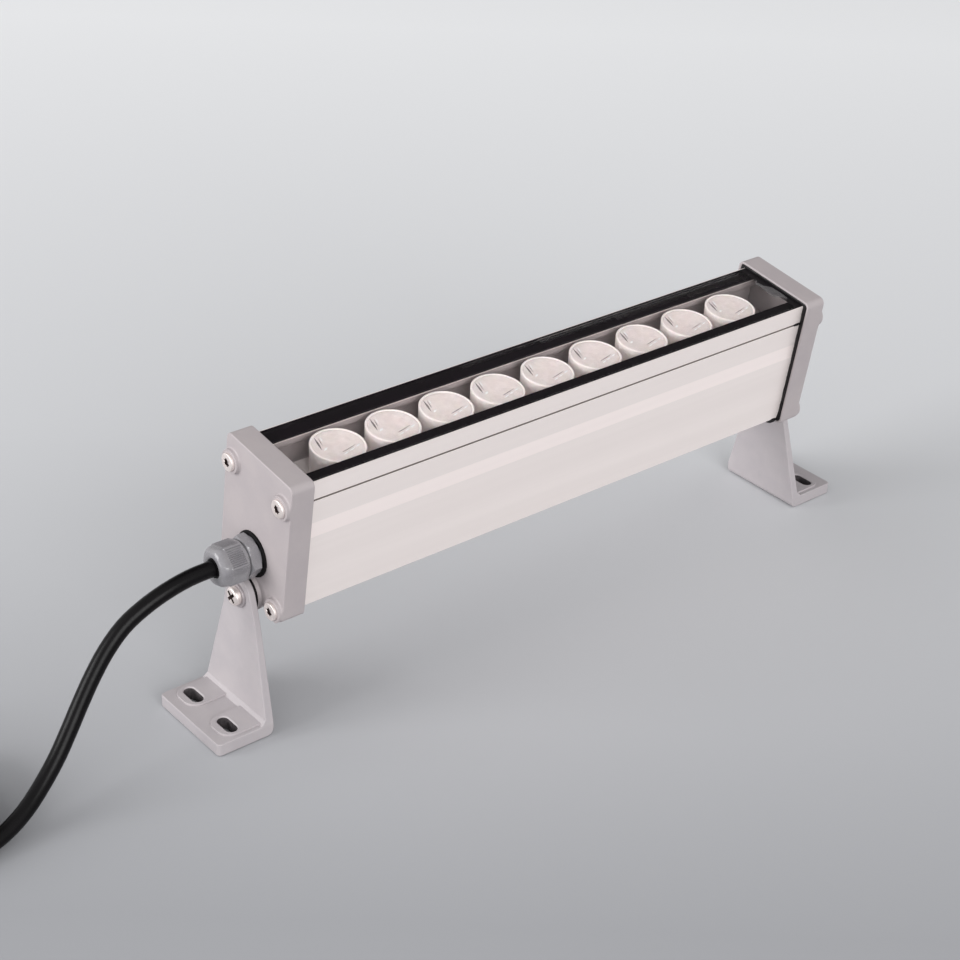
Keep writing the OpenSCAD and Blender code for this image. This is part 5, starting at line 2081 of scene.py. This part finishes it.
@dataclass(frozen=True)
class Studio:
    """Pale floor, sky and lamps."""

    floor_half: float = 12.0
    floor_steps: int = 8
    # How far the floor lies under the feet, in millimetres
    floor_drop: float = 0.3
    # The way across the floor that it pales, and where along it that starts and ends
    floor_way: Triple = (-0.766, 0.643, 0.0)
    floor_span: Pair = (-0.23, 0.83)
    # The floor pales from the near edge of the view to its far edge
    floor_tones: tuple[tuple[float, str], ...] = ((0.0, "#a3a4a8"), (0.35, "#d0d1d4"), (1.0, "#f1f2f4"))
    sky: str = "#e4e6e8"
    sky_strength: float = 0.76
    # The sky is darker where the glass mirrors it
    dark_way: Triple = (-0.504, 0.556, 0.661)
    dark_strength: float = 0.1
    # Cosines of the angle from that way at which the dark starts and is full
    dark_span: Pair = (0.68, 0.92)
    lamps: tuple[Softbox, ...] = (
        Softbox("left_softbox", (-1.0, -3.35, 1.2), 2.2, 97.0),
        Softbox("right_softbox", (3.4, -1.0, 1.45), 2.4, 79.0),
    )

    def build_floor(self) -> None:
        """Builds the floor, which pales away from the camera."""
        half = self.floor_half / MM
        shell = Shell()
        steps = self.floor_steps
        points = [
            Vector((half * (2 * i / steps - 1), half * (2 * k / steps - 1), -self.floor_drop))
            for i in range(steps + 1)
            for k in range(steps + 1)
        ]
        row = steps + 1
        faces = [
            (i * row + k, (i + 1) * row + k, (i + 1) * row + k + 1, i * row + k + 1)
            for i in range(steps)
            for k in range(steps)
        ]
        shell.add(points, faces)
        floor = loose("studio_floor", shell)
        material = bpy.data.materials.new("studio_floor_paper")
        material.use_nodes = True
        tree = material.node_tree
        tree.nodes.clear()
        place = add_node(tree, "ShaderNodeTexCoord").outputs["Object"]
        along = add_node(
            tree, "ShaderNodeVectorMath", {1: self.floor_way}, {0: place}, operation="DOT_PRODUCT"
        ).outputs["Value"]
        start, end = self.floor_span
        share = add_node(tree, "ShaderNodeMapRange", {"From Min": start, "From Max": end}, {"Value": along})
        ramp = add_node(tree, "ShaderNodeValToRGB", links={"Fac": share.outputs["Result"]})
        stops = ramp.color_ramp.elements
        while len(stops) < len(self.floor_tones):
            stops.new(0.5)
        for stop, (position, colour) in zip(stops, self.floor_tones):
            stop.position = position
            stop.color = linear(colour)
        shader = add_node(
            tree,
            "ShaderNodeBsdfPrincipled",
            {"Roughness": 0.9, "Specular IOR Level": 0.1},
            {"Base Color": ramp.outputs["Color"]},
        )
        add_node(tree, "ShaderNodeOutputMaterial", links={"Surface": shader.outputs["BSDF"]})
        floor.data.materials.append(material)

    def build_sky(self) -> None:
        """Builds the even light from all round."""
        world = bpy.data.worlds.new("studio_sky")
        world.use_nodes = True
        tree = world.node_tree
        tree.nodes.clear()
        way = add_node(tree, "ShaderNodeTexCoord").outputs["Generated"]
        turned = add_node(
            tree, "ShaderNodeVectorMath", {1: self.dark_way}, {0: way}, operation="DOT_PRODUCT"
        ).outputs["Value"]
        strength = add_node(
            tree,
            "ShaderNodeMapRange",
            {
                "From Min": self.dark_span[0],
                "From Max": self.dark_span[1],
                "To Min": self.sky_strength,
                "To Max": self.dark_strength,
            },
            {"Value": turned},
            interpolation_type="SMOOTHSTEP",
        ).outputs["Result"]
        light = add_node(
            tree, "ShaderNodeBackground", {"Color": (1.0, 1.0, 1.0, 1.0)}, {"Strength": strength}
        )
        seen = add_node(tree, "ShaderNodeBackground", {"Color": linear(self.sky), "Strength": 1.0})
        path = add_node(tree, "ShaderNodeLightPath")
        mix = add_node(
            tree,
            "ShaderNodeMixShader",
            links={
                "Fac": path.outputs["Is Camera Ray"],
                1: light.outputs["Background"],
                2: seen.outputs["Background"],
            },
        )
        add_node(tree, "ShaderNodeOutputWorld", links={"Surface": mix.outputs["Shader"]})
        bpy.context.scene.world = world

    def build(self) -> None:
        """Builds the studio."""
        self.build_floor()
        self.build_sky()
        for lamp in self.lamps:
            lamp.build()
        bpy.context.scene.view_settings.view_transform = "Standard"


def main() -> None:
    """Builds the camera, the cable and then the light, piece by piece."""
    logging.basicConfig(level=logging.INFO, format="%(name)s: %(message)s")
    PhotoCamera().build()
    SupplyCable().build()
    sizes = HeadSizes()
    Housing(sizes).build()
    GlassPane(sizes).build()
    SealTape(sizes).build()
    LensRow(sizes).build()
    for end in End:
        EndCap(sizes, end).build()
        SealantBead(sizes, end).build()
        CapScrews(sizes, end).build()
        TiltJoint(end).build()
        FootBracket(end).build()
    CableGland(sizes).build()
    dress_nodes()
    Studio().build()


if __name__ == "__main__":
    main()
